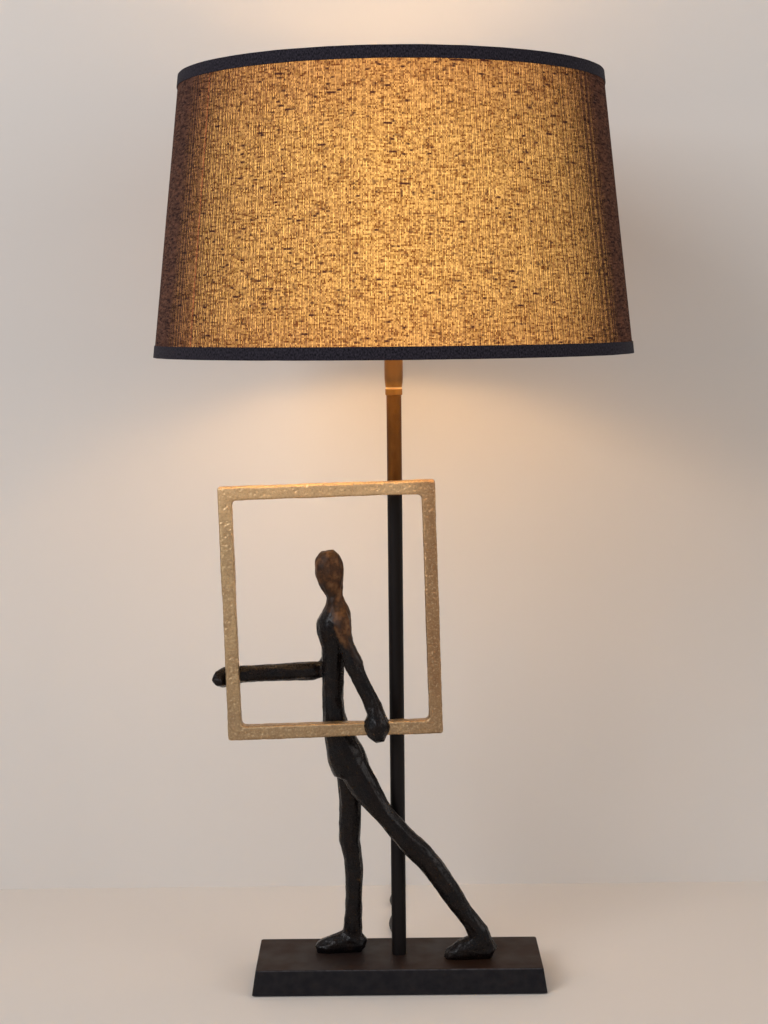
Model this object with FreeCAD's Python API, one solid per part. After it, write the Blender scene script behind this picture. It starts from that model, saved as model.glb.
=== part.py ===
"""Figural table lamp: a walking figure holds an open frame beside a pole that carries a tapered shade.

Units are millimetres.  The origin is on the table, on the pole's axis.  +X is to the viewer's right,
+Y goes away from the viewer and +Z is up.  Each function builds one piece of the lamp, and PIECES at
the end lists them all under the names of their files.
"""
import FreeCAD
import Part
import math
import os

Vec = FreeCAD.Vector
UP = Vec(0, 0, 1)
RIGHT = Vec(1, 0, 0)
AWAY = Vec(0, 1, 0)
ORIGIN = Vec(0, 0, 0)

# ================================================================ driving dimensions
# base
PLINTH_LENGTH = 220.0
PLINTH_DEPTH = 71.0
PLINTH_TOP = 20.0             # its upper face over the table
PLINTH_END_DRAFT = 3.0        # how far each end leans in towards the top
PLINTH_SIDE_DRAFT = 1.5
PLINTH_CORNER = 2.0
PLINTH_EDGE = 0.7
PLINTH_WEB = 6.0              # metal left over the pocket
FELT_THICKNESS = 1.0
FELT_INSET = 3.0
POCKET_DIAMETER = 30.0

# threaded tubes, M10 x 1, at both ends of the pole
THREAD_DIAMETER = 10.0
THREAD_BORE = 7.0
THREAD_GAP = 0.05             # radial, in every hole that a threaded tube goes through
THREAD_GRIP = 12.0            # length of it inside the pole
WASHER_DIAMETER = 20.0
WASHER_THICKNESS = 1.2
NUT_WIDTH = 14.0              # across its flats
NUT_HEIGHT = 3.5

# pole, collar and neck
POLE_DIAMETER = 11.0
POLE_BORE = 9.0
POLE_LENGTH = 424.0
COLLAR_DIAMETER = 12.6
COLLAR_HEIGHT = 5.8
COLLAR_EDGE = 0.8
NECK_DIAMETER = 13.6
NECK_FOOT_DIAMETER = 12.0
NECK_HEIGHT = 21.2
NECK_TAPER = 9.0              # height over which it swells to its full diameter

# lampholder
CAP_DIAMETER = 40.0
CAP_HEIGHT = 17.0
CAP_WALL = 1.4
CAP_FLOOR = 3.0
CAP_LEDGE = 9.0               # the ledge inside the cap that carries the insert
INSERT_GAP = 0.1
SHELL_DIAMETER = 39.0
SHELL_HEIGHT = 33.0
SHELL_WALL = 2.2
SHELL_THREAD_DEPTH = 0.6
SHELL_THREAD_PITCH = 3.0
SCREW_SHELL_BORE = 27.4
SCREW_SHELL_WALL = 0.6
SCREW_SHELL_HEIGHT = 26.0
CONTACT_WIDTH = 5.0
CONTACT_THICKNESS = 0.5
CONTACT_RISE = 3.0
CONTACT_REACH = 8.0
TERMINAL_SPACING = 20.0
TERMINAL_DIAMETER = 4.0
TERMINAL_HEIGHT = 4.0

# rings that clamp the shade on the lampholder
RING_NUT_DIAMETER = 56.0
RING_NUT_HEIGHT = 7.0
RING_NUT_RISE = 7.0           # from the foot of the shell to the lower ring
RING_NUT_GAP = 0.1            # radial, round the shell
RING_NUT_NOTCHES = 16
RING_NUT_NOTCH_RADIUS = 2.2
CLAMP_GAP = 0.15              # running gap on each side of the shade's own ring

# lamp bulb, E27
BULB_DIAMETER = 60.0
BULB_LENGTH = 105.0
BULB_WALL = 0.8
BULB_NECK_DIAMETER = 25.0
BULB_CAP_DIAMETER = 26.2
BULB_CAP_HEIGHT = 24.0
BULB_CAP_WALL = 0.6
BULB_COLLAR_HEIGHT = 2.0
BULB_NECK_GAP = 0.02
BULB_THREAD_DEPTH = 0.9
BULB_THREAD_PITCH = 3.6
BULB_THREAD_TURNS = 5
BULB_TIP_DIAMETER = 10.0
BULB_TIP_HEIGHT = 2.0
BULB_INSULATOR_HEIGHT = 3.0
LIGHT_POST_DIAMETER = 8.0
LIGHT_POST_LENGTH = 44.0
LIGHT_STEM_GAP = 2.4          # radial, between the post's flared stem and the glass

# shade
SHADE_BOTTOM_DIAMETER = 350.0
SHADE_TOP_DIAMETER = 306.0
SHADE_HEIGHT = 200.0
SHADE_RISE = 3.0              # its lower rim over the foot of the lampholder
FABRIC_THICKNESS = 0.6
LINER_THICKNESS = 0.4
LAYER_GAP = 0.1
TRIM_WIDTH = 8.6
TRIM_THICKNESS = 0.6
RIM_WIRE_DIAMETER = 3.5
SPOKE_DIAMETER = 3.2
SPOKE_COUNT = 3
FITTER_RIM = 1.2              # how far it shows outside the two rings, where the spokes are welded on
FITTER_THICKNESS = 1.5
FITTER_GAP = 0.7              # radial, round the shell

# open frame that the figure holds
FRAME_WIDTH = 158.0
FRAME_HEIGHT = 187.0
FRAME_BAR = 10.0
FRAME_DEPTH = 10.0
FRAME_INNER_CORNER = 3.0
FRAME_OUTER_CORNER = 1.0
FRAME_TILT = 1.45             # degrees, its right side raised
FRAME_LEFT = -126.6           # outside of the bar in the far hand, before the tilt
FRAME_FOOT = 195.0            # underside of the bar in the near hand, before the tilt
FRAME_AHEAD = -24.0
FRAME_CENTRE = Vec(FRAME_LEFT + FRAME_WIDTH / 2, FRAME_AHEAD, FRAME_FOOT + FRAME_HEIGHT / 2)

# figure: stations along each limb are (x, y, z, width across it, thickness towards the viewer)
LIMB_SIDES = 10
GRIP_GAP = 0.05               # between a hand and the bar in it
HEAD_AND_TORSO = [
    (-51.5, -8.0, 330.6, 5.0, 5.0),
    (-50.7, -8.0, 327.5, 13.0, 12.5),
    (-49.4, -8.0, 323.0, 17.6, 15.5),
    (-48.9, -8.0, 314.0, 19.8, 17.0),
    (-48.2, -8.0, 308.0, 18.2, 16.0),
    (-47.6, -8.0, 302.5, 14.2, 14.0),
    (-45.6, -8.0, 298.0, 11.0, 12.5),
    (-44.3, -8.0, 293.0, 12.6, 12.5),
    (-43.8, -7.5, 287.0, 16.8, 19.0),
    (-45.2, -7.5, 280.0, 21.0, 25.0),
    (-46.6, -7.5, 273.0, 22.4, 25.0),
    (-47.0, -7.5, 266.0, 20.6, 22.0),
    (-46.8, -7.5, 259.0, 16.6, 19.0),
    (-46.6, -7.0, 247.5, 16.6, 17.0),
    (-47.3, -7.0, 231.0, 15.8, 16.0),
    (-48.1, -7.0, 219.0, 14.6, 16.0),
    (-47.2, -7.0, 204.0, 16.6, 18.0),
    (-44.4, -7.0, 192.0, 20.6, 21.0),
    (-39.8, -6.5, 180.0, 27.4, 24.0),
    (-36.2, -6.0, 168.0, 29.6, 25.0),
    (-34.5, -6.0, 158.0, 24.0, 22.0),
]
FRONT_LEG = [
    (-38.0, 1.0, 170.0, 18.0, 16.0),
    (-36.5, 2.5, 150.0, 18.0, 16.0),
    (-35.3, 3.5, 134.0, 16.8, 15.5),
    (-37.0, 4.5, 112.0, 16.6, 15.0),
    (-36.6, 5.0, 104.0, 15.6, 14.5),
    (-34.2, 5.5, 95.0, 13.9, 14.5),
    (-33.3, 6.0, 84.0, 14.8, 15.0),
    (-33.7, 6.3, 73.0, 12.8, 13.5),
    (-34.3, 6.5, 56.0, 12.2, 12.0),
    (-35.2, 6.5, 42.0, 13.8, 12.0),
    (-35.0, 6.5, 30.0, 16.0, 13.0),
]
REAR_LEG = [
    (-36.0, -8.0, 176.0, 22.0, 17.0),
    (-28.8, -9.5, 158.5, 24.0, 17.5),
    (-19.6, -12.5, 144.3, 19.6, 17.0),
    (-10.0, -15.0, 132.4, 15.0, 15.5),
    (-2.9, -15.6, 124.4, 14.8, 15.0),
    (5.6, -15.6, 113.6, 16.6, 15.5),
    (15.0, -15.2, 104.8, 18.2, 15.5),
    (24.5, -14.6, 94.2, 17.4, 15.0),
    (33.0, -13.8, 81.0, 16.4, 14.5),
    (40.5, -12.8, 69.5, 16.2, 13.5),
    (47.2, -12.0, 58.2, 13.4, 12.5),
    (53.2, -11.4, 50.2, 13.2, 12.0),
    (60.0, -11.0, 41.0, 16.0, 13.0),
    (62.5, -11.0, 31.0, 17.0, 14.0),
]
NEAR_ARM = [
    (-43.0, -12.0, 284.5, 12.0, 11.0),
    (-41.3, -16.0, 276.0, 14.0, 12.0),
    (-37.8, -18.0, 266.0, 11.6, 11.5),
    (-33.6, -19.4, 254.0, 11.8, 11.0),
    (-30.9, -20.4, 243.5, 12.6, 11.5),
    (-26.3, -22.0, 232.5, 10.6, 11.0),
    (-21.4, -24.0, 222.5, 10.4, 10.8),
    (-16.6, -25.6, 213.5, 12.6, 14.0),
    (-15.0, -26.0, 205.0, 17.6, 19.0),
    (-14.6, -26.0, 197.0, 15.6, 18.0),
    (-14.0, -26.0, 191.5, 8.5, 11.0),
]
ELBOW_STATION_COUNT = 4       # stations of the near arm above its elbow, where the forearm is joined on
FAR_ARM = [
    (-45.0, 2.0, 283.0, 10.0, 10.0),
    (-46.5, 4.5, 272.0, 11.5, 11.0),
    (-48.0, 6.0, 255.0, 11.0, 11.0),
    (-50.6, 5.5, 240.5, 13.5, 12.0),
    (-58.0, 2.5, 238.6, 12.6, 12.0),
    (-68.0, -2.0, 240.2, 13.4, 12.5),
    (-92.0, -8.0, 240.8, 13.2, 12.5),
    (-112.0, -12.3, 240.4, 11.4, 11.5),
    (-121.0, -13.6, 239.6, 12.6, 10.5),
    (-128.0, -16.5, 238.4, 14.4, 11.0),
    (-130.4, -22.5, 236.8, 12.6, 9.0),
    (-130.2, -28.0, 235.0, 8.0, 6.0),
]
# a foot's stations are (x, y, width across it, height of its instep over the plinth)
FRONT_FOOT = [
    (-25.4, 6.5, 8.0, 9.0),
    (-29.0, 6.5, 12.5, 16.0),
    (-41.5, 6.5, 13.5, 18.0),
    (-50.0, 6.2, 14.5, 14.6),
    (-57.0, 6.0, 14.5, 11.4),
    (-61.6, 5.8, 11.0, 8.6),
    (-63.4, 5.6, 5.0, 4.6),
]
REAR_FOOT = [
    (72.6, -11.0, 7.0, 10.0),
    (69.0, -11.0, 12.0, 18.0),
    (54.0, -11.0, 14.0, 19.5),
    (46.0, -11.2, 14.5, 16.0),
    (39.6, -11.6, 13.0, 9.6),
    (34.2, -12.0, 6.0, 3.4),
]
FOOT_SOLE_SHARE = 0.92        # the sole's width as a share of the foot's
FOOT_SCREW_DIAMETER = 4.0
FOOT_SCREW_HEAD_DIAMETER = 7.6
FOOT_SCREW_HEAD_HEIGHT = 3.0
FOOT_SCREW_GRIP = 8.0         # length inside the foot
FOOT_SCREW_GAP = 0.1
FRONT_SCREW_AT = (-36.0, 6.5)
REAR_SCREW_AT = (62.0, -11.0)

# supply lead
CORD_DIAMETER = 5.0
CORD_HEIGHT_IN_BASE = 6.5     # its axis over the table where it leaves the plinth
CORE_DIAMETER = 2.0           # each of its two insulated cores
CORE_SPACING = 2.6
CORE_BEND = 3.0
LEAD_START = 13.0             # where the sheath ends inside the pocket, from the pole's axis
BUSH_BORE_GAP = 0.05
BUSH_SPIGOT_DIAMETER = 8.0
BUSH_SPIGOT_LENGTH = 10.0
BUSH_FLANGE_DIAMETER = 10.5
BUSH_FLANGE_THICKNESS = 2.2
BUSH_TIP_DIAMETER = 6.4
BUSH_LENGTH = 26.0            # from the plinth's rear face to its tip

# lead outside the base: points of its route on the table, chosen by hand
CORD_ON_TABLE = CORD_DIAMETER / 2
SWITCH_AXIS_HEIGHT = 8.0      # the lead's axis inside the switch
ARC_SHARE = 0.45              # tangent length of a bend, as a share of its shorter run

# in-line rocker switch
SWITCH_CENTRE = Vec(74.0, 252.0, 0.0)
SWITCH_LENGTH = 58.0
SWITCH_WIDTH = 24.0
SWITCH_HEIGHT = 17.0
SWITCH_WALL = 1.8
SWITCH_CORNER = 7.0
SWITCH_EDGE = 1.5
SWITCH_END_LENGTH = 15.0      # solid length at each end, past the room for the terminals
SWITCH_LEAD_GRIP = 6.0        # length of the sheathed lead inside each end
ROCKER_LENGTH = 21.0
ROCKER_WIDTH = 11.0
ROCKER_GAP = 0.5
ROCKER_PIVOT_DIAMETER = 3.0
ROCKER_PIVOT_GAP = 0.1
ROCKER_PIVOT_DROP = 4.0       # the pivot's axis under the cover's top
ROCKER_RISE = 1.4
ROCKER_DEPTH = 3.0            # how far it reaches under its pivot
ROCKER_RIB = 3.2              # thickness of the cover's ribs round the pivot
ROCKER_TRAVEL = 14.0          # degrees between on and off
SWITCH_SCREW_DIAMETER = 2.6
SWITCH_SCREW_HEAD = 4.6
SWITCH_SCREW_RECESS = 0.4
SWITCH_SCREW_LENGTH = 9.0
SWITCH_SCREW_OFFSET = 19.0
SWITCH_TERMINAL = 5.0

# put-away coil
COIL_CENTRE_X = 138.0
COIL_INNER_RADIUS = 23.4
COIL_TURNS_PER_LAYER = 1.5
COIL_LAYERS = 4
COIL_PITCH = 5.7              # radial step of one turn
COIL_RISE = 5.6               # from one layer to the next
COIL_SIDESTEP = 1.0           # how far a climbing half turn swings clear of its neighbours
COIL_STEPS_PER_TURN = 4
TIE_WIDTH = 10.0
TIE_THICKNESS = 0.6
TIE_GAP = 0.3

# plug with two round pins
PLUG_AT = Vec(8.0, 305.0, 0.0)    # the middle of its front face, on the table
PLUG_WIDTH = 34.0
PLUG_NECK_WIDTH = 13.0
PLUG_BODY_LENGTH = 24.0
PLUG_TAPER_LENGTH = 13.0
PLUG_THICKNESS = 13.6
PLUG_EDGE = 2.0
PLUG_SLEEVE_LENGTH = 22.0
PLUG_SLEEVE_TIP_DIAMETER = 6.6
PLUG_SLEEVE_DIAMETER = 9.0
PLUG_LENGTH = PLUG_BODY_LENGTH + PLUG_TAPER_LENGTH + PLUG_SLEEVE_LENGTH
PIN_DIAMETER = 4.0
PIN_LENGTH = 19.0
PIN_SPACING = 19.0
PIN_INSULATION = 10.0
PIN_INSULATION_DIAMETER = 3.4
PIN_CORE_DIAMETER = 2.6
PIN_ROOT = 6.0                # length of each pin inside the body

# ================================================================ heights stacked on each other
POLE_TOP = PLINTH_TOP + POLE_LENGTH
COLLAR_TOP = POLE_TOP + COLLAR_HEIGHT
HOLDER_FOOT = COLLAR_TOP + NECK_HEIGHT
SHELL_FOOT = HOLDER_FOOT + CAP_HEIGHT
LOWER_RING_FOOT = SHELL_FOOT + RING_NUT_RISE
FITTER_FOOT = LOWER_RING_FOOT + RING_NUT_HEIGHT + CLAMP_GAP
UPPER_RING_FOOT = FITTER_FOOT + FITTER_THICKNESS + CLAMP_GAP
BULB_FOOT = SHELL_FOOT + CONTACT_RISE + CLAMP_GAP
BULB_TOP = BULB_FOOT + BULB_LENGTH
SHADE_FOOT = HOLDER_FOOT + SHADE_RISE
SHADE_TOP = SHADE_FOOT + SHADE_HEIGHT
THREAD_RADIUS = THREAD_DIAMETER / 2
THREAD_HOLE_RADIUS = THREAD_RADIUS + THREAD_GAP
POCKET_CEILING = PLINTH_TOP - PLINTH_WEB
FITTER_BORE_RADIUS = SHELL_DIAMETER / 2 + FITTER_GAP
FITTER_RADIUS = RING_NUT_DIAMETER / 2 + FITTER_RIM


# ================================================================ small helpers
def cylinder(radius, foot, height, x=0.0, y=0.0):
    return Part.makeCylinder(radius, height, Vec(x, y, foot), UP)


def tube(radius, bore_radius, foot, height):
    return cylinder(radius, foot, height).cut(cylinder(bore_radius, foot, height))


def lathe(profile):
    """A solid of revolution about the pole's axis, from (radius, height) corners."""
    corners = [Vec(radius, 0, height) for radius, height in profile]
    face = Part.Face(Part.makePolygon(corners + corners[:1]))
    return face.revolve(ORIGIN, UP, 360)


def rounded_slab(length, depth, foot, height, corner, centre=ORIGIN):
    """An upright prism whose vertical edges are rounded."""
    low = Vec(centre.x - length / 2, centre.y - depth / 2, foot)
    slab = Part.makeBox(length, depth, height, low)
    return slab.makeFillet(corner, upright_edges(slab))


def upright_edges(solid):
    return [e for e in solid.Edges if e.BoundBox.ZLength > 0.5 and e.BoundBox.XLength < e.BoundBox.ZLength]


def edges_at_height(solid, height):
    return [e for e in solid.Edges if abs(e.BoundBox.ZMin - height) + abs(e.BoundBox.ZMax - height) < 1e-4]


def section(centre, along, width, thickness):
    """A many-sided wire square to the limb, with its width in the picture's plane."""
    across = along.cross(AWAY).normalize()
    towards = across.cross(along).normalize()
    stretch = 0.5 / math.cos(math.pi / LIMB_SIDES)
    corners = []
    for k in range(LIMB_SIDES):
        angle = 2 * math.pi * (k + 0.5) / LIMB_SIDES
        corners.append(centre + across * (width * stretch * math.cos(angle))
                       + towards * (thickness * stretch * math.sin(angle)))
    return Part.makePolygon(corners + corners[:1])


def limb(stations):
    """A chiselled limb: flat facets between the many-sided sections of its stations."""
    points = [Vec(x, y, z) for x, y, z, width, thickness in stations]
    wires = []
    for k, (x, y, z, width, thickness) in enumerate(stations):
        along = (points[min(k + 1, len(points) - 1)] - points[max(k - 1, 0)]).normalize()
        wires.append(section(points[k], along, width, thickness))
    return Part.makeLoft(wires, True, True)


def foot(stations):
    """A foot with a flat sole on the plinth, lofted from heel to toe."""
    wires = []
    for x, y, width, height in stations:
        sole = width * FOOT_SOLE_SHARE / 2
        half = width / 2
        outline = [(-sole, 0), (-half, 0.35), (-0.78 * half, 0.75), (-0.35 * half, 1.0),
                   (0.35 * half, 1.0), (0.78 * half, 0.75), (half, 0.35), (sole, 0)]
        corners = [Vec(x, y + across, PLINTH_TOP + share * height) for across, share in outline]
        wires.append(Part.makePolygon(corners + corners[:1]))
    return Part.makeLoft(wires, True, True)


# ================================================================ base
def plinth():
    foot_height = FELT_THICKNESS
    lower = Part.makePolygon(rectangle(PLINTH_LENGTH, PLINTH_DEPTH, foot_height))
    upper = Part.makePolygon(rectangle(PLINTH_LENGTH - 2 * PLINTH_END_DRAFT,
                                       PLINTH_DEPTH - 2 * PLINTH_SIDE_DRAFT, PLINTH_TOP))
    block = Part.makeLoft([lower, upper], True, True)
    block = block.makeFillet(PLINTH_CORNER, upright_edges(block))
    block = block.makeFillet(PLINTH_EDGE, edges_at_height(block, PLINTH_TOP))
    pocket = cylinder(POCKET_DIAMETER / 2, foot_height, POCKET_CEILING - foot_height)
    pole_hole = cylinder(THREAD_HOLE_RADIUS, POCKET_CEILING, PLINTH_WEB)
    lead_hole = Part.makeCylinder(CORD_DIAMETER / 2 + BUSH_BORE_GAP, PLINTH_DEPTH,
                                  Vec(0, 0, CORD_HEIGHT_IN_BASE), AWAY)
    spigot_hole = Part.makeCylinder(BUSH_SPIGOT_DIAMETER / 2, PLINTH_DEPTH,
                                    Vec(0, plinth_rear() - BUSH_SPIGOT_LENGTH, CORD_HEIGHT_IN_BASE), AWAY)
    block = block.cut([pocket, pole_hole, lead_hole, spigot_hole])
    for x, y in (FRONT_SCREW_AT, REAR_SCREW_AT):
        shank = cylinder(FOOT_SCREW_DIAMETER / 2 + FOOT_SCREW_GAP, foot_height, PLINTH_TOP, x, y)
        head = cylinder(FOOT_SCREW_HEAD_DIAMETER / 2 + FOOT_SCREW_GAP, foot_height, FOOT_SCREW_HEAD_HEIGHT,
                        x, y)
        block = block.cut([shank, head])
    return block


def rectangle(length, depth, height):
    x = length / 2
    y = depth / 2
    return [Vec(-x, -y, height), Vec(x, -y, height), Vec(x, y, height), Vec(-x, y, height),
            Vec(-x, -y, height)]


def plinth_rear():
    """Where the plinth's leaning rear face is, at the height of the lead."""
    share = (CORD_HEIGHT_IN_BASE - FELT_THICKNESS) / (PLINTH_TOP - FELT_THICKNESS)
    return PLINTH_DEPTH / 2 - PLINTH_SIDE_DRAFT * share


def felt_pad():
    return rounded_slab(PLINTH_LENGTH - 2 * FELT_INSET, PLINTH_DEPTH - 2 * FELT_INSET, 0.0,
                        FELT_THICKNESS, PLINTH_CORNER)


def lock_washer():
    return tube(WASHER_DIAMETER / 2, THREAD_HOLE_RADIUS, POCKET_CEILING - WASHER_THICKNESS, WASHER_THICKNESS)


def hex_nut():
    top = POCKET_CEILING - WASHER_THICKNESS
    reach = NUT_WIDTH / 2 / math.cos(math.pi / 6)
    corners = [Vec(reach * math.cos(math.pi / 3 * k), reach * math.sin(math.pi / 3 * k), top - NUT_HEIGHT)
               for k in range(7)]
    blank = Part.Face(Part.makePolygon(corners)).extrude(UP * NUT_HEIGHT)
    return blank.cut(cylinder(THREAD_HOLE_RADIUS, top - NUT_HEIGHT, NUT_HEIGHT))


def bottom_nipple():
    low = POCKET_CEILING - WASHER_THICKNESS - NUT_HEIGHT
    return tube(THREAD_RADIUS, THREAD_BORE / 2, low, PLINTH_TOP + THREAD_GRIP - low)


def foot_screws():
    screws = []
    for x, y in (FRONT_SCREW_AT, REAR_SCREW_AT):
        head = cylinder(FOOT_SCREW_HEAD_DIAMETER / 2, FELT_THICKNESS, FOOT_SCREW_HEAD_HEIGHT, x, y)
        shank = cylinder(FOOT_SCREW_DIAMETER / 2, FELT_THICKNESS,
                         PLINTH_TOP - FELT_THICKNESS + FOOT_SCREW_GRIP, x, y)
        screws.append(head.fuse(shank))
    return Part.makeCompound(screws)


# ================================================================ pole, collar and neck
def pole_tube():
    threads = [cylinder(THREAD_HOLE_RADIUS, PLINTH_TOP, THREAD_GRIP),
               cylinder(THREAD_HOLE_RADIUS, POLE_TOP - THREAD_GRIP, THREAD_GRIP)]
    return tube(POLE_DIAMETER / 2, POLE_BORE / 2, PLINTH_TOP, POLE_LENGTH).cut(threads)


def top_nipple():
    low = POLE_TOP - THREAD_GRIP
    return tube(THREAD_RADIUS, THREAD_BORE / 2, low, HOLDER_FOOT + CAP_FLOOR - low)


def collar_ring():
    radius = COLLAR_DIAMETER / 2
    return lathe([(THREAD_HOLE_RADIUS, POLE_TOP), (radius - COLLAR_EDGE, POLE_TOP),
                  (radius, POLE_TOP + COLLAR_EDGE), (radius, COLLAR_TOP - COLLAR_EDGE),
                  (radius - COLLAR_EDGE, COLLAR_TOP), (THREAD_HOLE_RADIUS, COLLAR_TOP)])


def neck():
    """A barrel: narrow at the collar, then swelling along an arc to its full diameter."""
    low = Vec(NECK_FOOT_DIAMETER / 2, 0, COLLAR_TOP)
    shoulder = Vec(NECK_DIAMETER / 2, 0, COLLAR_TOP + NECK_TAPER)
    bulge = (low + shoulder) * 0.5 + Vec((NECK_DIAMETER - NECK_FOOT_DIAMETER) / 8, 0, 0)
    top = Vec(NECK_DIAMETER / 2, 0, HOLDER_FOOT)
    inner_top = Vec(THREAD_HOLE_RADIUS, 0, HOLDER_FOOT)
    inner_low = Vec(THREAD_HOLE_RADIUS, 0, COLLAR_TOP)
    outline = [Part.Arc(low, bulge, shoulder).toShape(), Part.makeLine(shoulder, top),
               Part.makeLine(top, inner_top), Part.makeLine(inner_top, inner_low),
               Part.makeLine(inner_low, low)]
    return Part.Face(Part.Wire(outline)).revolve(ORIGIN, UP, 360)


# ================================================================ lampholder
def socket_cap():
    """A cup with a ledge for the insert; the threaded tube ends in its floor."""
    radius = CAP_DIAMETER / 2
    inner = radius - CAP_WALL
    ledge = inner - 3.6
    boss = NECK_DIAMETER / 2
    z = HOLDER_FOOT
    return lathe([(THREAD_HOLE_RADIUS, z), (boss, z), (boss + 1.4, z + 1.2), (radius - 5, z + 4.5),
                  (radius - 1.2, z + 8), (radius, z + 11), (radius, z + CAP_HEIGHT),
                  (inner, z + CAP_HEIGHT), (inner, z + CAP_LEDGE), (ledge, z + CAP_LEDGE),
                  (ledge, z + 7.5), (boss + 1.4, z + CAP_FLOOR), (THREAD_HOLE_RADIUS, z + CAP_FLOOR)])


def socket_insert():
    """The insulating block that carries the terminals, the screw shell and the contact."""
    low = HOLDER_FOOT + CAP_LEDGE
    block = cylinder(CAP_DIAMETER / 2 - CAP_WALL - INSERT_GAP, low, CAP_HEIGHT - CAP_LEDGE)
    holes = [cylinder(TERMINAL_DIAMETER / 2, low, TERMINAL_HEIGHT, side * TERMINAL_SPACING / 2)
             for side in (-1, 1)]
    core_holes = [cylinder(CORE_DIAMETER / 2 + INSERT_GAP, low, TERMINAL_HEIGHT, side * CORE_SPACING / 2)
                  for side in (-1, 1)]
    return block.cut(holes + core_holes)


def terminal_screws():
    low = HOLDER_FOOT + CAP_LEDGE
    return Part.makeCompound([
        cylinder(TERMINAL_DIAMETER / 2, low, TERMINAL_HEIGHT, side * TERMINAL_SPACING / 2)
        for side in (-1, 1)])


def socket_shell():
    """The outer sleeve with its thread, standing on the cap and the insert."""
    radius = SHELL_DIAMETER / 2
    bore = radius - SHELL_WALL
    top = SHELL_FOOT + SHELL_HEIGHT
    profile = [(bore, SHELL_FOOT), (radius, SHELL_FOOT)]
    thread_foot = SHELL_FOOT + SHELL_THREAD_PITCH
    for k in range(int((top - thread_foot) / SHELL_THREAD_PITCH)):
        z = thread_foot + k * SHELL_THREAD_PITCH
        profile += [(radius, z), (radius - SHELL_THREAD_DEPTH, z + SHELL_THREAD_PITCH / 2)]
    profile += [(radius, top), (bore, top)]
    return lathe(profile)


def screw_shell():
    bore = SCREW_SHELL_BORE / 2
    return tube(bore + SCREW_SHELL_WALL, bore, SHELL_FOOT, SCREW_SHELL_HEIGHT)


def centre_contact():
    """A sprung tongue that rises from the insert to the bulb's tip."""
    t = CONTACT_THICKNESS
    z = SHELL_FOOT
    x = CONTACT_REACH
    outline = [(x, z), (x, z + t), (1.0, z + CONTACT_RISE), (-2.5, z + CONTACT_RISE),
               (-2.5, z + CONTACT_RISE - t), (0.6, z + CONTACT_RISE - t), (x - 4.0, z)]
    corners = [Vec(a, -CONTACT_WIDTH / 2, b) for a, b in outline]
    return Part.Face(Part.makePolygon(corners + corners[:1])).extrude(AWAY * CONTACT_WIDTH)


def ring_nut(low):
    """A shade ring: a collar that screws along the shell, with finger notches round its edge."""
    blank = tube(RING_NUT_DIAMETER / 2, SHELL_DIAMETER / 2 + RING_NUT_GAP, low, RING_NUT_HEIGHT)
    notches = []
    for k in range(RING_NUT_NOTCHES):
        angle = 2 * math.pi * k / RING_NUT_NOTCHES
        reach = RING_NUT_DIAMETER / 2 + RING_NUT_NOTCH_RADIUS * 0.5
        notches.append(cylinder(RING_NUT_NOTCH_RADIUS, low, RING_NUT_HEIGHT,
                                reach * math.cos(angle), reach * math.sin(angle)))
    return blank.cut(notches)


def lower_shade_ring():
    return ring_nut(LOWER_RING_FOOT)


def upper_shade_ring():
    return ring_nut(UPPER_RING_FOOT)


# ================================================================ bulb
def bulb_outline(radius, neck_radius, top, low):
    """The half outline of the glass: an arc over the globe, a tangent line and the neck."""
    centre = Vec(0, 0, top - radius)
    lean = math.radians(35)
    flank = centre + Vec(radius * math.cos(lean), 0, -radius * math.sin(lean))
    crown = centre + Vec(0, 0, radius)
    shoulder = centre + Vec(radius * math.cos(math.radians(30)), 0, radius * math.sin(math.radians(30)))
    slope = Vec(-math.sin(lean), 0, -math.cos(lean))
    knee = flank + slope * ((flank.x - neck_radius) / -slope.x)
    return crown, shoulder, flank, knee, Vec(neck_radius, 0, low)


def bulb_glass():
    low = BULB_FOOT + BULB_TIP_HEIGHT + BULB_INSULATOR_HEIGHT + BULB_CAP_HEIGHT - BULB_COLLAR_HEIGHT
    outer = bulb_outline(BULB_DIAMETER / 2, BULB_NECK_DIAMETER / 2, BULB_TOP, low)
    inner = bulb_outline(BULB_DIAMETER / 2 - BULB_WALL, BULB_NECK_DIAMETER / 2 - BULB_WALL,
                         BULB_TOP - BULB_WALL, low)
    edges = [Part.Arc(outer[0], outer[1], outer[2]).toShape(), Part.makeLine(outer[2], outer[3]),
             Part.makeLine(outer[3], outer[4]), Part.makeLine(outer[4], inner[4]),
             Part.makeLine(inner[4], inner[3]), Part.makeLine(inner[3], inner[2]),
             Part.Arc(inner[2], inner[1], inner[0]).toShape(), Part.makeLine(inner[0], outer[0])]
    return Part.Face(Part.Wire(edges)).revolve(ORIGIN, UP, 360)


def bulb_cap():
    """The threaded metal cap: it stands on the insulator, and its collar grips the neck of the glass."""
    radius = BULB_CAP_DIAMETER / 2
    bore = radius - BULB_CAP_WALL - BULB_THREAD_DEPTH
    low = BULB_FOOT + BULB_TIP_HEIGHT + BULB_INSULATOR_HEIGHT
    grip = BULB_NECK_DIAMETER / 2 + BULB_NECK_GAP
    rim = low + BULB_CAP_HEIGHT - BULB_COLLAR_HEIGHT
    profile = [(bore, low), (bore + BULB_CAP_WALL, low)]
    for k in range(BULB_THREAD_TURNS):
        z = low + (k + 0.3) * BULB_THREAD_PITCH
        profile += [(bore + BULB_CAP_WALL, z), (radius, z + BULB_THREAD_PITCH / 2)]
    profile += [(bore + BULB_CAP_WALL, rim - BULB_COLLAR_HEIGHT / 2), (grip + BULB_CAP_WALL, rim),
                (grip + BULB_CAP_WALL, rim + BULB_COLLAR_HEIGHT), (grip, rim + BULB_COLLAR_HEIGHT),
                (grip, rim), (bore, rim - BULB_COLLAR_HEIGHT / 2)]
    return lathe(profile)


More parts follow.
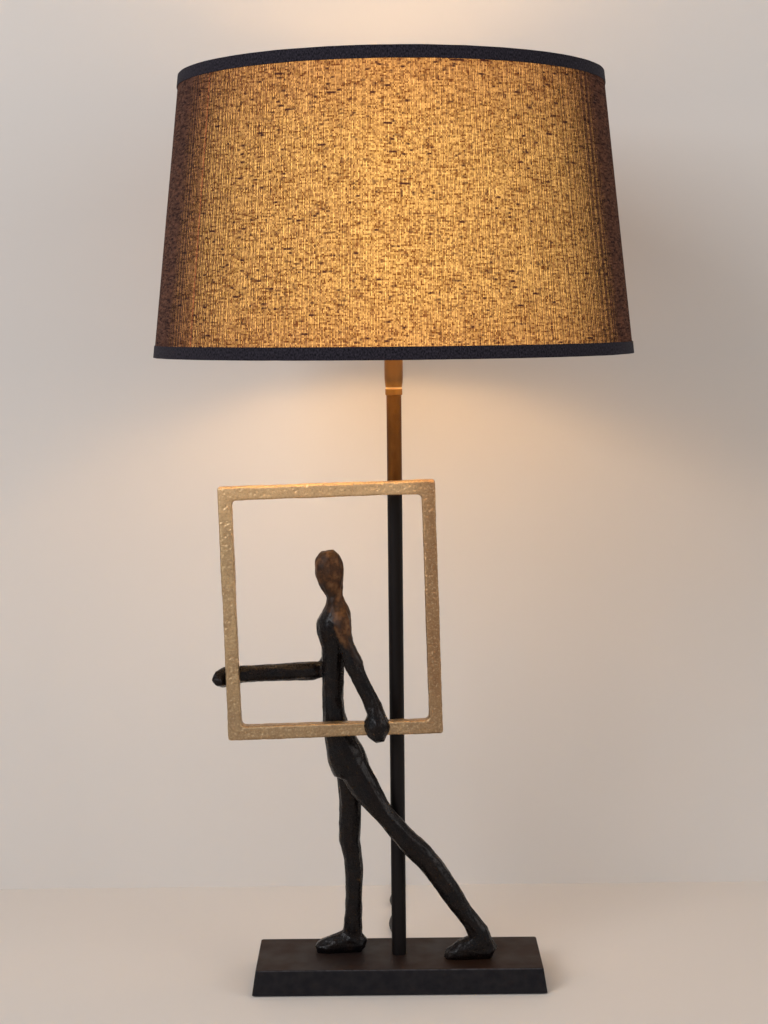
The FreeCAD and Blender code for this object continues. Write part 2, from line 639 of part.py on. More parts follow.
def bulb_insulator():
    low = BULB_FOOT + BULB_TIP_HEIGHT
    top_radius = BULB_CAP_DIAMETER / 2 - BULB_THREAD_DEPTH
    return lathe([(0, low), (BULB_TIP_DIAMETER / 2, low), (top_radius, low + BULB_INSULATOR_HEIGHT),
                  (0, low + BULB_INSULATOR_HEIGHT)])


def bulb_tip():
    radius = BULB_TIP_DIAMETER / 2
    top = BULB_FOOT + BULB_TIP_HEIGHT
    return lathe([(0, BULB_FOOT), (0.7 * radius, BULB_FOOT), (0.92 * radius, top), (0, top)])


def light_post():
    """The glass post with the light source, standing on the insulator in the middle of the bulb."""
    low = BULB_FOOT + BULB_TIP_HEIGHT + BULB_INSULATOR_HEIGHT
    stem_radius = BULB_NECK_DIAMETER / 2 - BULB_WALL - LIGHT_STEM_GAP
    post = LIGHT_POST_DIAMETER / 2
    rise = BULB_CAP_HEIGHT
    return lathe([(0, low), (stem_radius, low), (stem_radius, low + rise * 0.7), (post, low + rise),
                  (post, low + rise + LIGHT_POST_LENGTH), (0, low + rise + LIGHT_POST_LENGTH)])


# ================================================================ shade
def shade_radius(z):
    """Outer radius of the finished shade at a height, trims included."""
    share = (z - SHADE_FOOT) / SHADE_HEIGHT
    return (SHADE_BOTTOM_DIAMETER + (SHADE_TOP_DIAMETER - SHADE_BOTTOM_DIAMETER) * share) / 2


def cone_band(outer_inset, thickness, low, high):
    """A thin cone that lies a set distance inside the shade's outer surface."""
    foot = shade_radius(low) - outer_inset
    head = shade_radius(high) - outer_inset
    return lathe([(foot - thickness, low), (foot, low), (head, high), (head - thickness, high)])


FABRIC_INSET = TRIM_THICKNESS + LAYER_GAP
LINER_INSET = FABRIC_INSET + FABRIC_THICKNESS + LAYER_GAP
WIRE_INSET = LINER_INSET + LINER_THICKNESS + LAYER_GAP + RIM_WIRE_DIAMETER / 2
FOLD_INSET = WIRE_INSET + RIM_WIRE_DIAMETER / 2 + LAYER_GAP
RIM_MARGIN = TRIM_THICKNESS + LAYER_GAP


def shade_fabric():
    return cone_band(FABRIC_INSET, FABRIC_THICKNESS, SHADE_FOOT + RIM_MARGIN, SHADE_TOP - RIM_MARGIN)


def shade_liner():
    return cone_band(LINER_INSET, LINER_THICKNESS, SHADE_FOOT + RIM_MARGIN, SHADE_TOP - RIM_MARGIN)


def trim(rim, inward):
    """Binding tape folded over a rim: an outer leg, the fold and a leg inside the rim wire."""
    far = rim + inward * TRIM_WIDTH
    fold = rim + inward * TRIM_THICKNESS
    corners = [(0.0, rim), (0.0, far), (TRIM_THICKNESS, far), (TRIM_THICKNESS, fold),
               (FOLD_INSET, fold), (FOLD_INSET, far), (FOLD_INSET + TRIM_THICKNESS, far),
               (FOLD_INSET + TRIM_THICKNESS, rim)]
    return lathe([(shade_radius(z) - inset, z) for inset, z in corners])


def top_trim():
    return trim(SHADE_TOP, -1)


def bottom_trim():
    return trim(SHADE_FOOT, 1)


def rim_wire_height(rim, inward):
    return rim + inward * (RIM_MARGIN + RIM_WIRE_DIAMETER / 2)


def rim_wire(rim, inward):
    z = rim_wire_height(rim, inward)
    return Part.makeTorus(shade_radius(z) - WIRE_INSET, RIM_WIRE_DIAMETER / 2, Vec(0, 0, z), UP)


def top_wire_ring():
    return rim_wire(SHADE_TOP, -1)


def bottom_wire_ring():
    return rim_wire(SHADE_FOOT, 1)


def fitter_ring():
    return tube(FITTER_RADIUS, FITTER_BORE_RADIUS, FITTER_FOOT, FITTER_THICKNESS)


def spider_spokes():
    """Straight rods out from the fitter ring, bent down over the trim onto the lower rim wire."""
    wire_z = rim_wire_height(SHADE_FOOT, 1)
    knee_z = SHADE_FOOT + TRIM_WIDTH + SPOKE_DIAMETER
    start = Vec(FITTER_RADIUS - FITTER_RIM / 2, 0, FITTER_FOOT + FITTER_THICKNESS / 2)
    knee = Vec(shade_radius(knee_z) - WIRE_INSET, 0, knee_z)
    end = Vec(shade_radius(wire_z) - WIRE_INSET, 0, wire_z)
    radius = SPOKE_DIAMETER / 2
    rod = Part.makeCylinder(radius, (knee - start).Length, start, knee - start)
    tail = Part.makeCylinder(radius, (end - knee).Length, knee, end - knee)
    clamp_zone = cylinder(FITTER_RADIUS, FITTER_FOOT - SPOKE_DIAMETER, 2 * SPOKE_DIAMETER + FITTER_THICKNESS)
    rod = rod.fuse([tail, Part.makeSphere(radius, knee)]).cut([clamp_zone, bottom_wire_ring()])
    rod = max(rod.Solids, key=lambda solid: solid.Volume)
    spokes = []
    for k in range(SPOKE_COUNT):
        spoke = rod.copy()
        spoke.rotate(ORIGIN, UP, 90 + 360 * k / SPOKE_COUNT)
        spokes.append(spoke)
    return Part.makeCompound(spokes)


# ================================================================ open frame and figure
def frame_box(width, height, depth):
    low = FRAME_CENTRE - Vec(width / 2, depth / 2, height / 2)
    return Part.makeBox(width, depth, height, low)


def tilted(shape):
    shape.rotate(FRAME_CENTRE, AWAY, -FRAME_TILT)
    return shape


def along_depth(solid):
    return [e for e in solid.Edges if e.BoundBox.YLength > 0.9 * solid.BoundBox.YLength]


def open_frame(gap=0.0):
    """The cast frame; with a gap, the room that a hand leaves round it."""
    outer = frame_box(FRAME_WIDTH + 2 * gap, FRAME_HEIGHT + 2 * gap, FRAME_DEPTH + 2 * gap)
    outer = outer.makeFillet(FRAME_OUTER_CORNER, along_depth(outer))
    window = frame_box(FRAME_WIDTH - 2 * FRAME_BAR - 2 * gap, FRAME_HEIGHT - 2 * FRAME_BAR - 2 * gap,
                       FRAME_DEPTH * 2)
    window = window.makeFillet(FRAME_INNER_CORNER, along_depth(window))
    return tilted(outer.cut(window))


def elbow_cutter():
    """The half space past the elbow, where the near forearm is joined on."""
    x, y, z, width, thickness = NEAR_ARM[ELBOW_STATION_COUNT]
    before = Vec(*NEAR_ARM[ELBOW_STATION_COUNT - 1][:3])
    after = Vec(*NEAR_ARM[ELBOW_STATION_COUNT + 1][:3])
    along = (after - before).normalize()
    return Part.makeCylinder(60.0, 120.0, Vec(x, y, z), along)


def figure_body():
    """Head, torso, both legs, their feet and the near upper arm, cast in one piece."""
    pieces = [limb(REAR_LEG), limb(FRONT_LEG), foot(REAR_FOOT), foot(FRONT_FOOT),
              limb(NEAR_ARM).cut(elbow_cutter())]
    body = limb(HEAD_AND_TORSO).fuse(pieces)
    below = Part.makeBox(PLINTH_LENGTH, PLINTH_LENGTH, PLINTH_TOP,
                         Vec(-PLINTH_LENGTH / 2, -PLINTH_LENGTH / 2, 0))
    screw_holes = [cylinder(FOOT_SCREW_DIAMETER / 2, PLINTH_TOP, FOOT_SCREW_GRIP, x, y)
                   for x, y in (FRONT_SCREW_AT, REAR_SCREW_AT)]
    return body.cut([below] + screw_holes)


def near_forearm():
    """Forearm and hand, joined on at the elbow and closed round the frame's lower bar."""
    return limb(NEAR_ARM).common(elbow_cutter()).cut(open_frame(GRIP_GAP))


def far_arm(body):
    """The whole far arm, its hand closed round the frame's left bar from behind."""
    return limb(FAR_ARM).cut([body, open_frame(GRIP_GAP)])


# ================================================================ lead inside the base
def inner_cores():
    """Two insulated cores: out of the sheath in the pocket, round a bend and up the pole to the insert."""
    top = HOLDER_FOOT + CAP_LEDGE + TERMINAL_HEIGHT
    level = CORD_HEIGHT_IN_BASE
    bend = CORE_BEND
    cores = []
    for side in (-1, 1):
        x = side * CORE_SPACING / 2
        start = Vec(x, LEAD_START, level)
        turn_in = Vec(x, bend, level)
        middle = Vec(x, bend - bend * math.sin(math.pi / 4), level + bend - bend * math.cos(math.pi / 4))
        turn_out = Vec(x, 0, level + bend)
        path = Part.Wire([Part.makeLine(start, turn_in), Part.Arc(turn_in, middle, turn_out).toShape(),
                          Part.makeLine(turn_out, Vec(x, 0, top))])
        cores.append(pipe(path, start, Vec(0, -1, 0), CORE_DIAMETER / 2))
    return Part.makeCompound(cores)


def base_lead():
    """The sheathed lead from the pocket to the tip of the bush."""
    return Part.makeCylinder(CORD_DIAMETER / 2, bush_tip() - LEAD_START,
                             Vec(0, LEAD_START, CORD_HEIGHT_IN_BASE), AWAY)


def bush_tip():
    return plinth_rear() + BUSH_LENGTH


def cord_bush():
    """The tapered strain relief: a spigot in the plinth, a flange on its rear face and a sleeve."""
    rear = PLINTH_DEPTH / 2
    spigot = BUSH_SPIGOT_DIAMETER / 2
    flange = BUSH_FLANGE_DIAMETER / 2
    bore = CORD_DIAMETER / 2 + BUSH_BORE_GAP
    profile = [(bore, plinth_rear() - BUSH_SPIGOT_LENGTH), (spigot, plinth_rear() - BUSH_SPIGOT_LENGTH),
               (spigot, rear), (flange, rear), (flange, rear + BUSH_FLANGE_THICKNESS),
               (spigot, rear + BUSH_FLANGE_THICKNESS), (BUSH_TIP_DIAMETER / 2, bush_tip()),
               (bore, bush_tip())]
    corners = [Vec(radius, y, CORD_HEIGHT_IN_BASE) for radius, y in profile]
    face = Part.Face(Part.makePolygon(corners + corners[:1]))
    return face.revolve(Vec(0, 0, CORD_HEIGHT_IN_BASE), AWAY, 360)


# ================================================================ lead on the table
def pipe(path, start, along, radius):
    circle = Part.Wire([Part.makeCircle(radius, start, along)])
    return path.makePipeShell([circle], True, False)


def arc_from(start, tangent, end):
    """The arc that leaves start along tangent and reaches end."""
    chord = end - start
    reach = chord.Length
    along = chord * (1 / reach)
    cosine = min(1.0, tangent.dot(along))
    if cosine > 1 - 1e-12:
        return Part.makeLine(start, end)
    half_turn = math.acos(cosine)
    bulge = (tangent - along * cosine).normalize()
    middle = (start + end) * 0.5 + bulge * (reach / 2 * math.tan(half_turn / 2))
    return Part.Arc(start, middle, end).toShape()


def rounded_route(name, points):
    """Straight runs joined by tangent arcs, as large as the two runs at each point allow."""
    edges = []
    radii = []
    here = points[0]
    for before, corner, after in zip(points, points[1:], points[2:]):
        run_in = corner - before
        run_out = after - corner
        reach = ARC_SHARE * min(run_in.Length, run_out.Length)
        along_in = run_in * (1 / run_in.Length)
        along_out = run_out * (1 / run_out.Length)
        turn = math.acos(max(-1.0, min(1.0, along_in.dot(along_out))))
        radii.append(reach / math.tan(turn / 2))
        bend_start = corner - along_in * reach
        bend_end = corner + along_out * reach
        edges.append(Part.makeLine(here, bend_start))
        edges.append(arc_from(bend_start, along_in, bend_end))
        here = bend_end
    edges.append(Part.makeLine(here, points[-1]))
    print(name, "bend radii", [round(radius, 1) for radius in radii])
    return Part.Wire(edges)


def cord_tube(name, points):
    path = rounded_route(name, points)
    start = points[0]
    solid = pipe(path, start, (points[1] - start).normalize(), CORD_DIAMETER / 2)
    expected = math.pi * CORD_DIAMETER ** 2 / 4 * path.Length
    print(name, "length", round(path.Length, 1), "volume share", round(solid.Volume / expected, 4))
    return solid


def switch_end(side):
    """Where the lead's run stops inside one end of the switch."""
    reach = SWITCH_LENGTH / 2 - SWITCH_LEAD_GRIP
    return SWITCH_CENTRE + Vec(side * reach, 0, SWITCH_AXIS_HEIGHT)


def cord_to_switch():
    """From the bush, down onto the table, back behind the pole in loose waves and round to the switch."""
    floor = CORD_ON_TABLE
    end = switch_end(-1)
    points = [Vec(0, bush_tip(), CORD_HEIGHT_IN_BASE), Vec(0, 73, CORD_HEIGHT_IN_BASE),
              Vec(-2.4, 92, floor + 0.6), Vec(-6.2, 114, floor), Vec(-3.4, 134, floor),
              Vec(1.4, 154, floor), Vec(-7.2, 176, floor), Vec(0.2, 200, floor), Vec(2.0, 223, floor),
              Vec(8.5, 240.5, floor), Vec(20.5, 249.8, floor + 1.6), Vec(36, end.y, end.z), end]
    return cord_tube("cord_to_switch", points)


def cord_to_coil():
    """From the switch down to the coil's lowest turn."""
    start = switch_end(1)
    heading = coil_tangent(0.0)
    end = coil_point(0.0) - heading * CORD_DIAMETER
    points = [start, start + RIGHT * 13, end - heading * 11, end]
    return cord_tube("cord_to_coil", points)


def cord_to_plug():
    """From the coil's top turn down to the sleeve of the plug."""
    heading = coil_tangent(COIL_TURNS)
    start = coil_point(COIL_TURNS) + heading * CORD_DIAMETER
    end = plug_axis() + RIGHT * PLUG_LENGTH
    points = [start, start + heading * 13, Vec(101, 312, 14), end + RIGHT * 15, end]
    return cord_tube("cord_to_plug", points)


# ================================================================ coil and its tie
COIL_TURNS = COIL_LAYERS * COIL_TURNS_PER_LAYER + (COIL_LAYERS - 1) * 0.5
COIL_OUTER_RADIUS = COIL_INNER_RADIUS + COIL_TURNS_PER_LAYER * COIL_PITCH
COIL_START_ANGLE = -90.0
COIL_CENTRE = Vec(COIL_CENTRE_X, SWITCH_CENTRE.y - 1.0 + COIL_OUTER_RADIUS, 0)


def coil_floor():
    """The lowest turn's axis: the tie passes under it."""
    return TIE_THICKNESS + LAYER_GAP + CORD_DIAMETER / 2


def coil_point(turn):
    """A point of the coil: it spirals in and out again, and climbs a layer in each half turn between."""
    stage = COIL_TURNS_PER_LAYER + 0.5
    layer = min(int(turn / stage), COIL_LAYERS - 1)
    within = turn - layer * stage
    winding_in = layer % 2 == 0
    share = min(within / COIL_TURNS_PER_LAYER, 1.0)
    radius = COIL_OUTER_RADIUS - share * COIL_TURNS_PER_LAYER * COIL_PITCH if winding_in else (
        COIL_INNER_RADIUS + share * COIL_TURNS_PER_LAYER * COIL_PITCH)
    height = coil_floor() + layer * COIL_RISE
    if within > COIL_TURNS_PER_LAYER:
        climb = (within - COIL_TURNS_PER_LAYER) / 0.5
        swing = COIL_SIDESTEP * math.sin(math.pi * climb)
        radius += -swing if winding_in else swing
        height += COIL_RISE * (1 - math.cos(math.pi * climb)) / 2
    angle = math.radians(COIL_START_ANGLE + 360 * turn)
    return COIL_CENTRE + Vec(radius * math.cos(angle), radius * math.sin(angle), height)


def coil_tangent(turn):
    step = 1e-4
    low = max(turn - step, 0.0)
    high = min(turn + step, COIL_TURNS)
    return (coil_point(high) - coil_point(low)).normalize()


def two_arcs(start, start_tangent, end, end_tangent):
    """Two arcs that join smoothly between two points with given tangents."""
    gap = end - start
    both = start_tangent + end_tangent
    a = 2 * (start_tangent.dot(end_tangent) - 1)
    b = -2 * gap.dot(both)
    c = gap.dot(gap)
    reach = (-b - math.sqrt(b * b - 4 * a * c)) / (2 * a)
    middle = (start + start_tangent * reach + end - end_tangent * reach) * 0.5
    second_tangent = (end - end_tangent * reach - (start + start_tangent * reach)).normalize()
    return [arc_from(start, start_tangent, middle), arc_from(middle, second_tangent, end)]


def cord_coil():
    """The put-away lead: one unbroken tube with real turns, and a short straight run at each end."""
    steps = round(COIL_TURNS * COIL_STEPS_PER_TURN)
    stations = [(coil_point(COIL_TURNS * k / steps), coil_tangent(COIL_TURNS * k / steps))
                for k in range(steps + 1)]
    first, first_tangent = stations[0]
    last, last_tangent = stations[-1]
    start = first - first_tangent * CORD_DIAMETER
    edges = [Part.makeLine(start, first)]
    for (here, tangent), (there, next_tangent) in zip(stations, stations[1:]):
        edges += two_arcs(here, tangent, there, next_tangent)
    edges.append(Part.makeLine(last, last + last_tangent * CORD_DIAMETER))
    path = Part.Wire(edges)
    solid = pipe(path, start, first_tangent, CORD_DIAMETER / 2)
    expected = math.pi * CORD_DIAMETER ** 2 / 4 * path.Length
    print("cord_coil length", round(path.Length, 1), "volume share", round(solid.Volume / expected, 4),
          "least gap to itself", round(coil_self_gap(), 2))
    return solid


def coil_self_gap():
    """The least clear distance between two turns, measured on points."""
    per_turn = 60
    points = [coil_point(k / per_turn) for k in range(int(COIL_TURNS * per_turn) + 1)]
    least = min((points[i] - points[j]).Length for i in range(len(points))
                for j in range(i + per_turn // 3, len(points)))
    return least - CORD_DIAMETER


def coil_tie():
    """A strap round the bundle of turns, on the side where no turn climbs."""
    inner_turn = coil_point(1.25).x - COIL_CENTRE.x
    outer_turn = coil_point(0.25).x - COIL_CENTRE.x
    sagitta = TIE_WIDTH ** 2 / 8 / (inner_turn - CORD_DIAMETER / 2)
    inner = inner_turn - CORD_DIAMETER / 2 - sagitta - TIE_GAP
    outer = outer_turn + CORD_DIAMETER / 2 + TIE_GAP
    top = coil_floor() + (COIL_LAYERS - 1) * COIL_RISE + CORD_DIAMETER / 2 + TIE_GAP
    t = TIE_THICKNESS
    corner = Vec(COIL_CENTRE.x + inner - t, COIL_CENTRE.y - TIE_WIDTH / 2, 0)
    outside = Part.makeBox(outer - inner + 2 * t, TIE_WIDTH, top + t, corner)
    inside = Part.makeBox(outer - inner, TIE_WIDTH, top - t, corner + Vec(t, 0, t))
    outside = outside.makeFillet(4 * t, along_depth(outside))
    inside = inside.makeFillet(3 * t, along_depth(inside))
    return outside.cut(inside)


# ================================================================ in-line switch
def switch_slab(foot, height):
    return rounded_slab(SWITCH_LENGTH, SWITCH_WIDTH, foot, height, SWITCH_CORNER, SWITCH_CENTRE)


def switch_pocket():
    """The room for the terminals, between the two solid ends that grip the lead."""
    length = SWITCH_LENGTH - 2 * SWITCH_END_LENGTH
    width = SWITCH_WIDTH - 2 * SWITCH_WALL
    low = SWITCH_CENTRE + Vec(-length / 2, -width / 2, SWITCH_WALL)
    return Part.makeBox(length, width, SWITCH_HEIGHT - 2 * SWITCH_WALL, low)


def switch_lead_groove():
    """A seat for the sheathed lead at each end, and a narrower way through for its cores."""
    axis = SWITCH_CENTRE + Vec(0, 0, SWITCH_AXIS_HEIGHT)
    groove = Part.makeCylinder(CORE_DIAMETER, SWITCH_LENGTH, axis - RIGHT * (SWITCH_LENGTH / 2), RIGHT)
    for side in (-1, 1):
        seat = Part.makeCylinder(CORD_DIAMETER / 2 + LAYER_GAP, SWITCH_LEAD_GRIP, switch_end(side),
                                 RIGHT * side)
        groove = groove.fuse(seat)
    return groove


def switch_screw_places():
    return [(SWITCH_CENTRE.x + side * SWITCH_SCREW_OFFSET, SWITCH_CENTRE.y + side * SWITCH_WIDTH / 3)
            for side in (-1, 1)]


def switch_screws():
    screws = []
    for x, y in switch_screw_places():
        head = cylinder(SWITCH_SCREW_HEAD / 2, SWITCH_SCREW_RECESS, SWITCH_SCREW_DIAMETER / 2, x, y)
        shank = cylinder(SWITCH_SCREW_DIAMETER / 2, SWITCH_SCREW_RECESS, SWITCH_SCREW_LENGTH, x, y)
        screws.append(head.fuse(shank))
    return Part.makeCompound(screws)


def switch_screw_holes():
    holes = []
    for x, y in switch_screw_places():
        head_depth = SWITCH_SCREW_RECESS + SWITCH_SCREW_DIAMETER / 2
        holes.append(cylinder(SWITCH_SCREW_HEAD / 2, 0, head_depth, x, y))
        holes.append(cylinder(SWITCH_SCREW_DIAMETER / 2, 0, SWITCH_SCREW_RECESS + SWITCH_SCREW_LENGTH, x, y))
    return holes


def switch_base():
    base = switch_slab(0, SWITCH_AXIS_HEIGHT)
    return base.cut([switch_pocket(), switch_lead_groove()] + switch_screw_holes())


def rocker_pivot():
    return SWITCH_CENTRE + Vec(0, 0, SWITCH_HEIGHT - ROCKER_PIVOT_DROP)


def switch_cover():
    """The upper half, with the rocker's window and two ribs that carry its pivot."""
    cover = switch_slab(SWITCH_AXIS_HEIGHT, SWITCH_HEIGHT - SWITCH_AXIS_HEIGHT)
    cover = cover.makeFillet(SWITCH_EDGE, edges_at_height(cover, SWITCH_HEIGHT))
    cover = cover.cut(switch_pocket())
    window_width = ROCKER_WIDTH + 2 * ROCKER_GAP
    window_length = ROCKER_LENGTH + 2 * ROCKER_GAP
    pivot = rocker_pivot()
    rib_width = window_width + 2 * ROCKER_RIB
    rib_low = Vec(pivot.x - ROCKER_RIB, pivot.y - rib_width / 2, pivot.z - ROCKER_RIB)
    ribs = Part.makeBox(2 * ROCKER_RIB, rib_width, SWITCH_HEIGHT - SWITCH_WALL / 2 - rib_low.z, rib_low)
    window_low = Vec(pivot.x - window_length / 2, pivot.y - window_width / 2, pivot.z - SWITCH_HEIGHT)
    window = Part.makeBox(window_length, window_width, 2 * SWITCH_HEIGHT, window_low)
    bore = Part.makeCylinder(ROCKER_PIVOT_DIAMETER / 2 + ROCKER_PIVOT_GAP, rib_width,
                             Vec(pivot.x, pivot.y - rib_width / 2, pivot.z), AWAY)
    return cover.fuse(ribs).cut([window, bore, switch_lead_groove()] + switch_screw_holes())


def switch_rocker():
    """The rocker, tipped to its on side, with its pivot pins."""
    pivot = rocker_pivot()
    half = ROCKER_LENGTH / 2
    top = ROCKER_PIVOT_DROP + ROCKER_RISE
    outline = [(-0.93 * half, top), (0, top - 1.0), (0.93 * half, top), (0.97 * half, 0),
               (0.62 * half, -ROCKER_DEPTH), (-0.62 * half, -ROCKER_DEPTH), (-0.97 * half, 0)]
    corners = [pivot + Vec(x, -ROCKER_WIDTH / 2, z) for x, z in outline]
    body = Part.Face(Part.makePolygon(corners + corners[:1])).extrude(AWAY * ROCKER_WIDTH)
    pin_length = ROCKER_WIDTH + 2 * (ROCKER_GAP + ROCKER_RIB * 0.8)
    pins = Part.makeCylinder(ROCKER_PIVOT_DIAMETER / 2, pin_length,
                             pivot - Vec(0, pin_length / 2, 0), AWAY)
    rocker = body.fuse(pins)
    rocker.rotate(pivot, AWAY, -ROCKER_TRAVEL / 2)
    return rocker


def switch_terminals():
    """Two brass blocks on the floor of the base that clamp the cores."""
    side = SWITCH_TERMINAL
    blocks = []
    for way in (-1, 1):
        x = SWITCH_CENTRE.x + way * (SWITCH_LENGTH / 2 - SWITCH_END_LENGTH - side)
        corner = Vec(x - side / 2, SWITCH_CENTRE.y - side / 2, SWITCH_WALL)
        blocks.append(Part.makeBox(side, side, side, corner))
    return Part.makeCompound(blocks)


# ================================================================ plug
def plug_axis():
    return PLUG_AT + Vec(0, 0, PLUG_THICKNESS / 2)


def plug_pin_places():
    return [plug_axis() + Vec(0, side * PIN_SPACING / 2, 0) for side in (-1, 1)]


def plug_body():
    """A flat moulded body that narrows to a round sleeve on the lead."""
    half = PLUG_WIDTH / 2
    neck_half = PLUG_NECK_WIDTH / 2
    back = PLUG_BODY_LENGTH + PLUG_TAPER_LENGTH
    outline = [(0, -half), (PLUG_BODY_LENGTH, -half), (back, -neck_half), (back, neck_half),
               (PLUG_BODY_LENGTH, half), (0, half)]
    corners = [PLUG_AT + Vec(x, y, 0) for x, y in outline]
    body = Part.Face(Part.makePolygon(corners + corners[:1])).extrude(UP * PLUG_THICKNESS)
    body = body.makeFillet(PLUG_EDGE, body.Edges)
    sleeve = Part.makeCone(PLUG_SLEEVE_DIAMETER / 2, PLUG_SLEEVE_TIP_DIAMETER / 2,
                           PLUG_SLEEVE_LENGTH + PLUG_EDGE, plug_axis() + Vec(back - PLUG_EDGE, 0, 0), RIGHT)
    holes = [Part.makeCylinder(PIN_CORE_DIAMETER / 2, PIN_ROOT, place, RIGHT) for place in plug_pin_places()]
    return body.fuse(sleeve).cut(holes)


def plug_pins():
    pins = []
    for place in plug_pin_places():
        core = Part.makeCylinder(PIN_CORE_DIAMETER / 2, PIN_INSULATION + PIN_ROOT,
                                 place - RIGHT * PIN_INSULATION, RIGHT)
        bare = Part.makeCylinder(PIN_DIAMETER / 2, PIN_LENGTH - PIN_INSULATION,
                                 place - RIGHT * PIN_LENGTH, RIGHT)
        bare = bare.makeChamfer(PIN_DIAMETER / 4, [e for e in bare.Edges
                                                   if abs(e.BoundBox.XMax - (place.x - PIN_LENGTH)) < 1e-4])
        pins.append(core.fuse(bare))
    return Part.makeCompound(pins)


def plug_pin_sleeves():
    sleeves = []
    for place in plug_pin_places():
        start = place - RIGHT * PIN_INSULATION
        outer = Part.makeCylinder(PIN_INSULATION_DIAMETER / 2, PIN_INSULATION, start, RIGHT)
        sleeves.append(outer.cut(Part.makeCylinder(PIN_CORE_DIAMETER / 2, PIN_INSULATION, start, RIGHT)))
    return Part.makeCompound(sleeves)


# ================================================================ all pieces
BODY = figure_body()
PIECES = {
    "plinth": plinth(),
    "felt_pad": felt_pad(),
    "lock_washer": lock_washer(),
    "hex_nut": hex_nut(),
    "bottom_nipple": bottom_nipple(),
    "foot_screws": foot_screws(),
    "pole_tube": pole_tube(),
    "top_nipple": top_nipple(),
    "collar_ring": collar_ring(),
    "neck": neck(),
    "socket_cap": socket_cap(),
    "socket_insert": socket_insert(),
    "terminal_screws": terminal_screws(),
    "socket_shell": socket_shell(),
    "screw_shell": screw_shell(),
    "centre_contact": centre_contact(),
    "lower_shade_ring": lower_shade_ring(),
    "upper_shade_ring": upper_shade_ring(),
    "bulb_glass": bulb_glass(),
    "bulb_cap": bulb_cap(),
    "bulb_insulator": bulb_insulator(),
    "bulb_tip": bulb_tip(),
    "light_post": light_post(),
    "shade_fabric": shade_fabric(),
    "shade_liner": shade_liner(),
    "top_trim": top_trim(),
    "bottom_trim": bottom_trim(),
    "top_wire_ring": top_wire_ring(),
    "bottom_wire_ring": bottom_wire_ring(),
    "fitter_ring": fitter_ring(),
    "spider_spokes": spider_spokes(),
    "open_frame": open_frame(),
    "figure_body": BODY,
    "near_forearm": near_forearm(),
    "far_arm": far_arm(BODY),
    "inner_cores": inner_cores(),
    "base_lead": base_lead(),
    "cord_bush": cord_bush(),
    "cord_to_switch": cord_to_switch(),
    "cord_to_coil": cord_to_coil(),
    "cord_coil": cord_coil(),
    "coil_tie": coil_tie(),
    "cord_to_plug": cord_to_plug(),
    "switch_base": switch_base(),
    "switch_cover": switch_cover(),
    "switch_rocker": switch_rocker(),
    "switch_screws": switch_screws(),
    "switch_terminals": switch_terminals(),
    "plug_body": plug_body(),
    "plug_pins": plug_pins(),
    "plug_pin_sleeves": plug_pin_sleeves(),
}

os.makedirs("parts", exist_ok=True)
for name, shape in PIECES.items():
    box = shape.BoundBox
    print(f"{name:18s} solids {len(shape.Solids)} valid {shape.isValid()} volume {shape.Volume:10.1f}"
          f"  x {box.XMin:7.1f} {box.XMax:7.1f}  y {box.YMin:7.1f} {box.YMax:7.1f}"
          f"  z {box.ZMin:6.1f} {box.ZMax:6.1f}")
    shape.exportStep("parts/" + name + ".step")
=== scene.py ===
# %% [markdown]
# # Dressing a figural table lamp
# The lamp is a pole with a drum shade on a flat plinth.  Beside the pole a slender cast figure walks
# through an open square frame.  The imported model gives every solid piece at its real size.  This script
# dresses it: it gives each surface its finish, remakes what a sculptor or a weaver made by hand, lays the
# supply lead, and sets up the camera and a plain studio.  All lengths are in metres.

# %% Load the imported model
import math
import random

import bmesh
import bpy
from mathutils import Euler, Matrix, Vector


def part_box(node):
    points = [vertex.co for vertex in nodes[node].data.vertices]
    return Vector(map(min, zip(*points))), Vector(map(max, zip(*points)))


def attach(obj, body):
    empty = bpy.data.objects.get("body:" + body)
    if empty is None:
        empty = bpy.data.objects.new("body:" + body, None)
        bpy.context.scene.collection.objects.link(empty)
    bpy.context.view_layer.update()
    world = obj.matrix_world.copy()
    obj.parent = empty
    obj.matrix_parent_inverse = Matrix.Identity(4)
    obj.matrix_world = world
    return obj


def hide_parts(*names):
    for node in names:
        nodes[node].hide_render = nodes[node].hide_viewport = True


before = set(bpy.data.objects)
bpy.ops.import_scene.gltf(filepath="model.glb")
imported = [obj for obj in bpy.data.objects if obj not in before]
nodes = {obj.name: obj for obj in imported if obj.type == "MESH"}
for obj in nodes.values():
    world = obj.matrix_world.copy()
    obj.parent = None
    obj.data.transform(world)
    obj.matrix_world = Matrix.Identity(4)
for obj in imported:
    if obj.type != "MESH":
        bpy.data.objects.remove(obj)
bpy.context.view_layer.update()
MM = 0.001

# %% [markdown]
# ## The camera
# The photograph was taken from a little over the middle of the lamp, 1.3 m away, looking slightly down.
# The long side of the picture is its height, so with an automatic sensor fit the 36 mm of the sensor
# belong to the height, and a 63 mm lens gives the photograph's narrow view.

# %% Camera
CAMERA_PLACE = (-0.0081, -1.3121, 0.5003)
CAMERA_PITCH_DOWN = 6.194
CAMERA_ROLL = 0.58
CAMERA_LENS = 62.62

bpy.ops.object.select_all(action="DESELECT")
bpy.ops.object.camera_add(location=CAMERA_PLACE)
camera = bpy.context.object
camera.name = "studio_camera"
camera.data.lens = CAMERA_LENS
camera.data.sensor_width = 36.0
camera.data.clip_start = 0.01
look = Euler((math.radians(90 - CAMERA_PITCH_DOWN), 0, 0)).to_matrix()
roll = Matrix.Rotation(math.radians(-CAMERA_ROLL), 3, "Z")
camera.rotation_euler = (look @ roll).to_euler()
bpy.context.scene.camera = camera

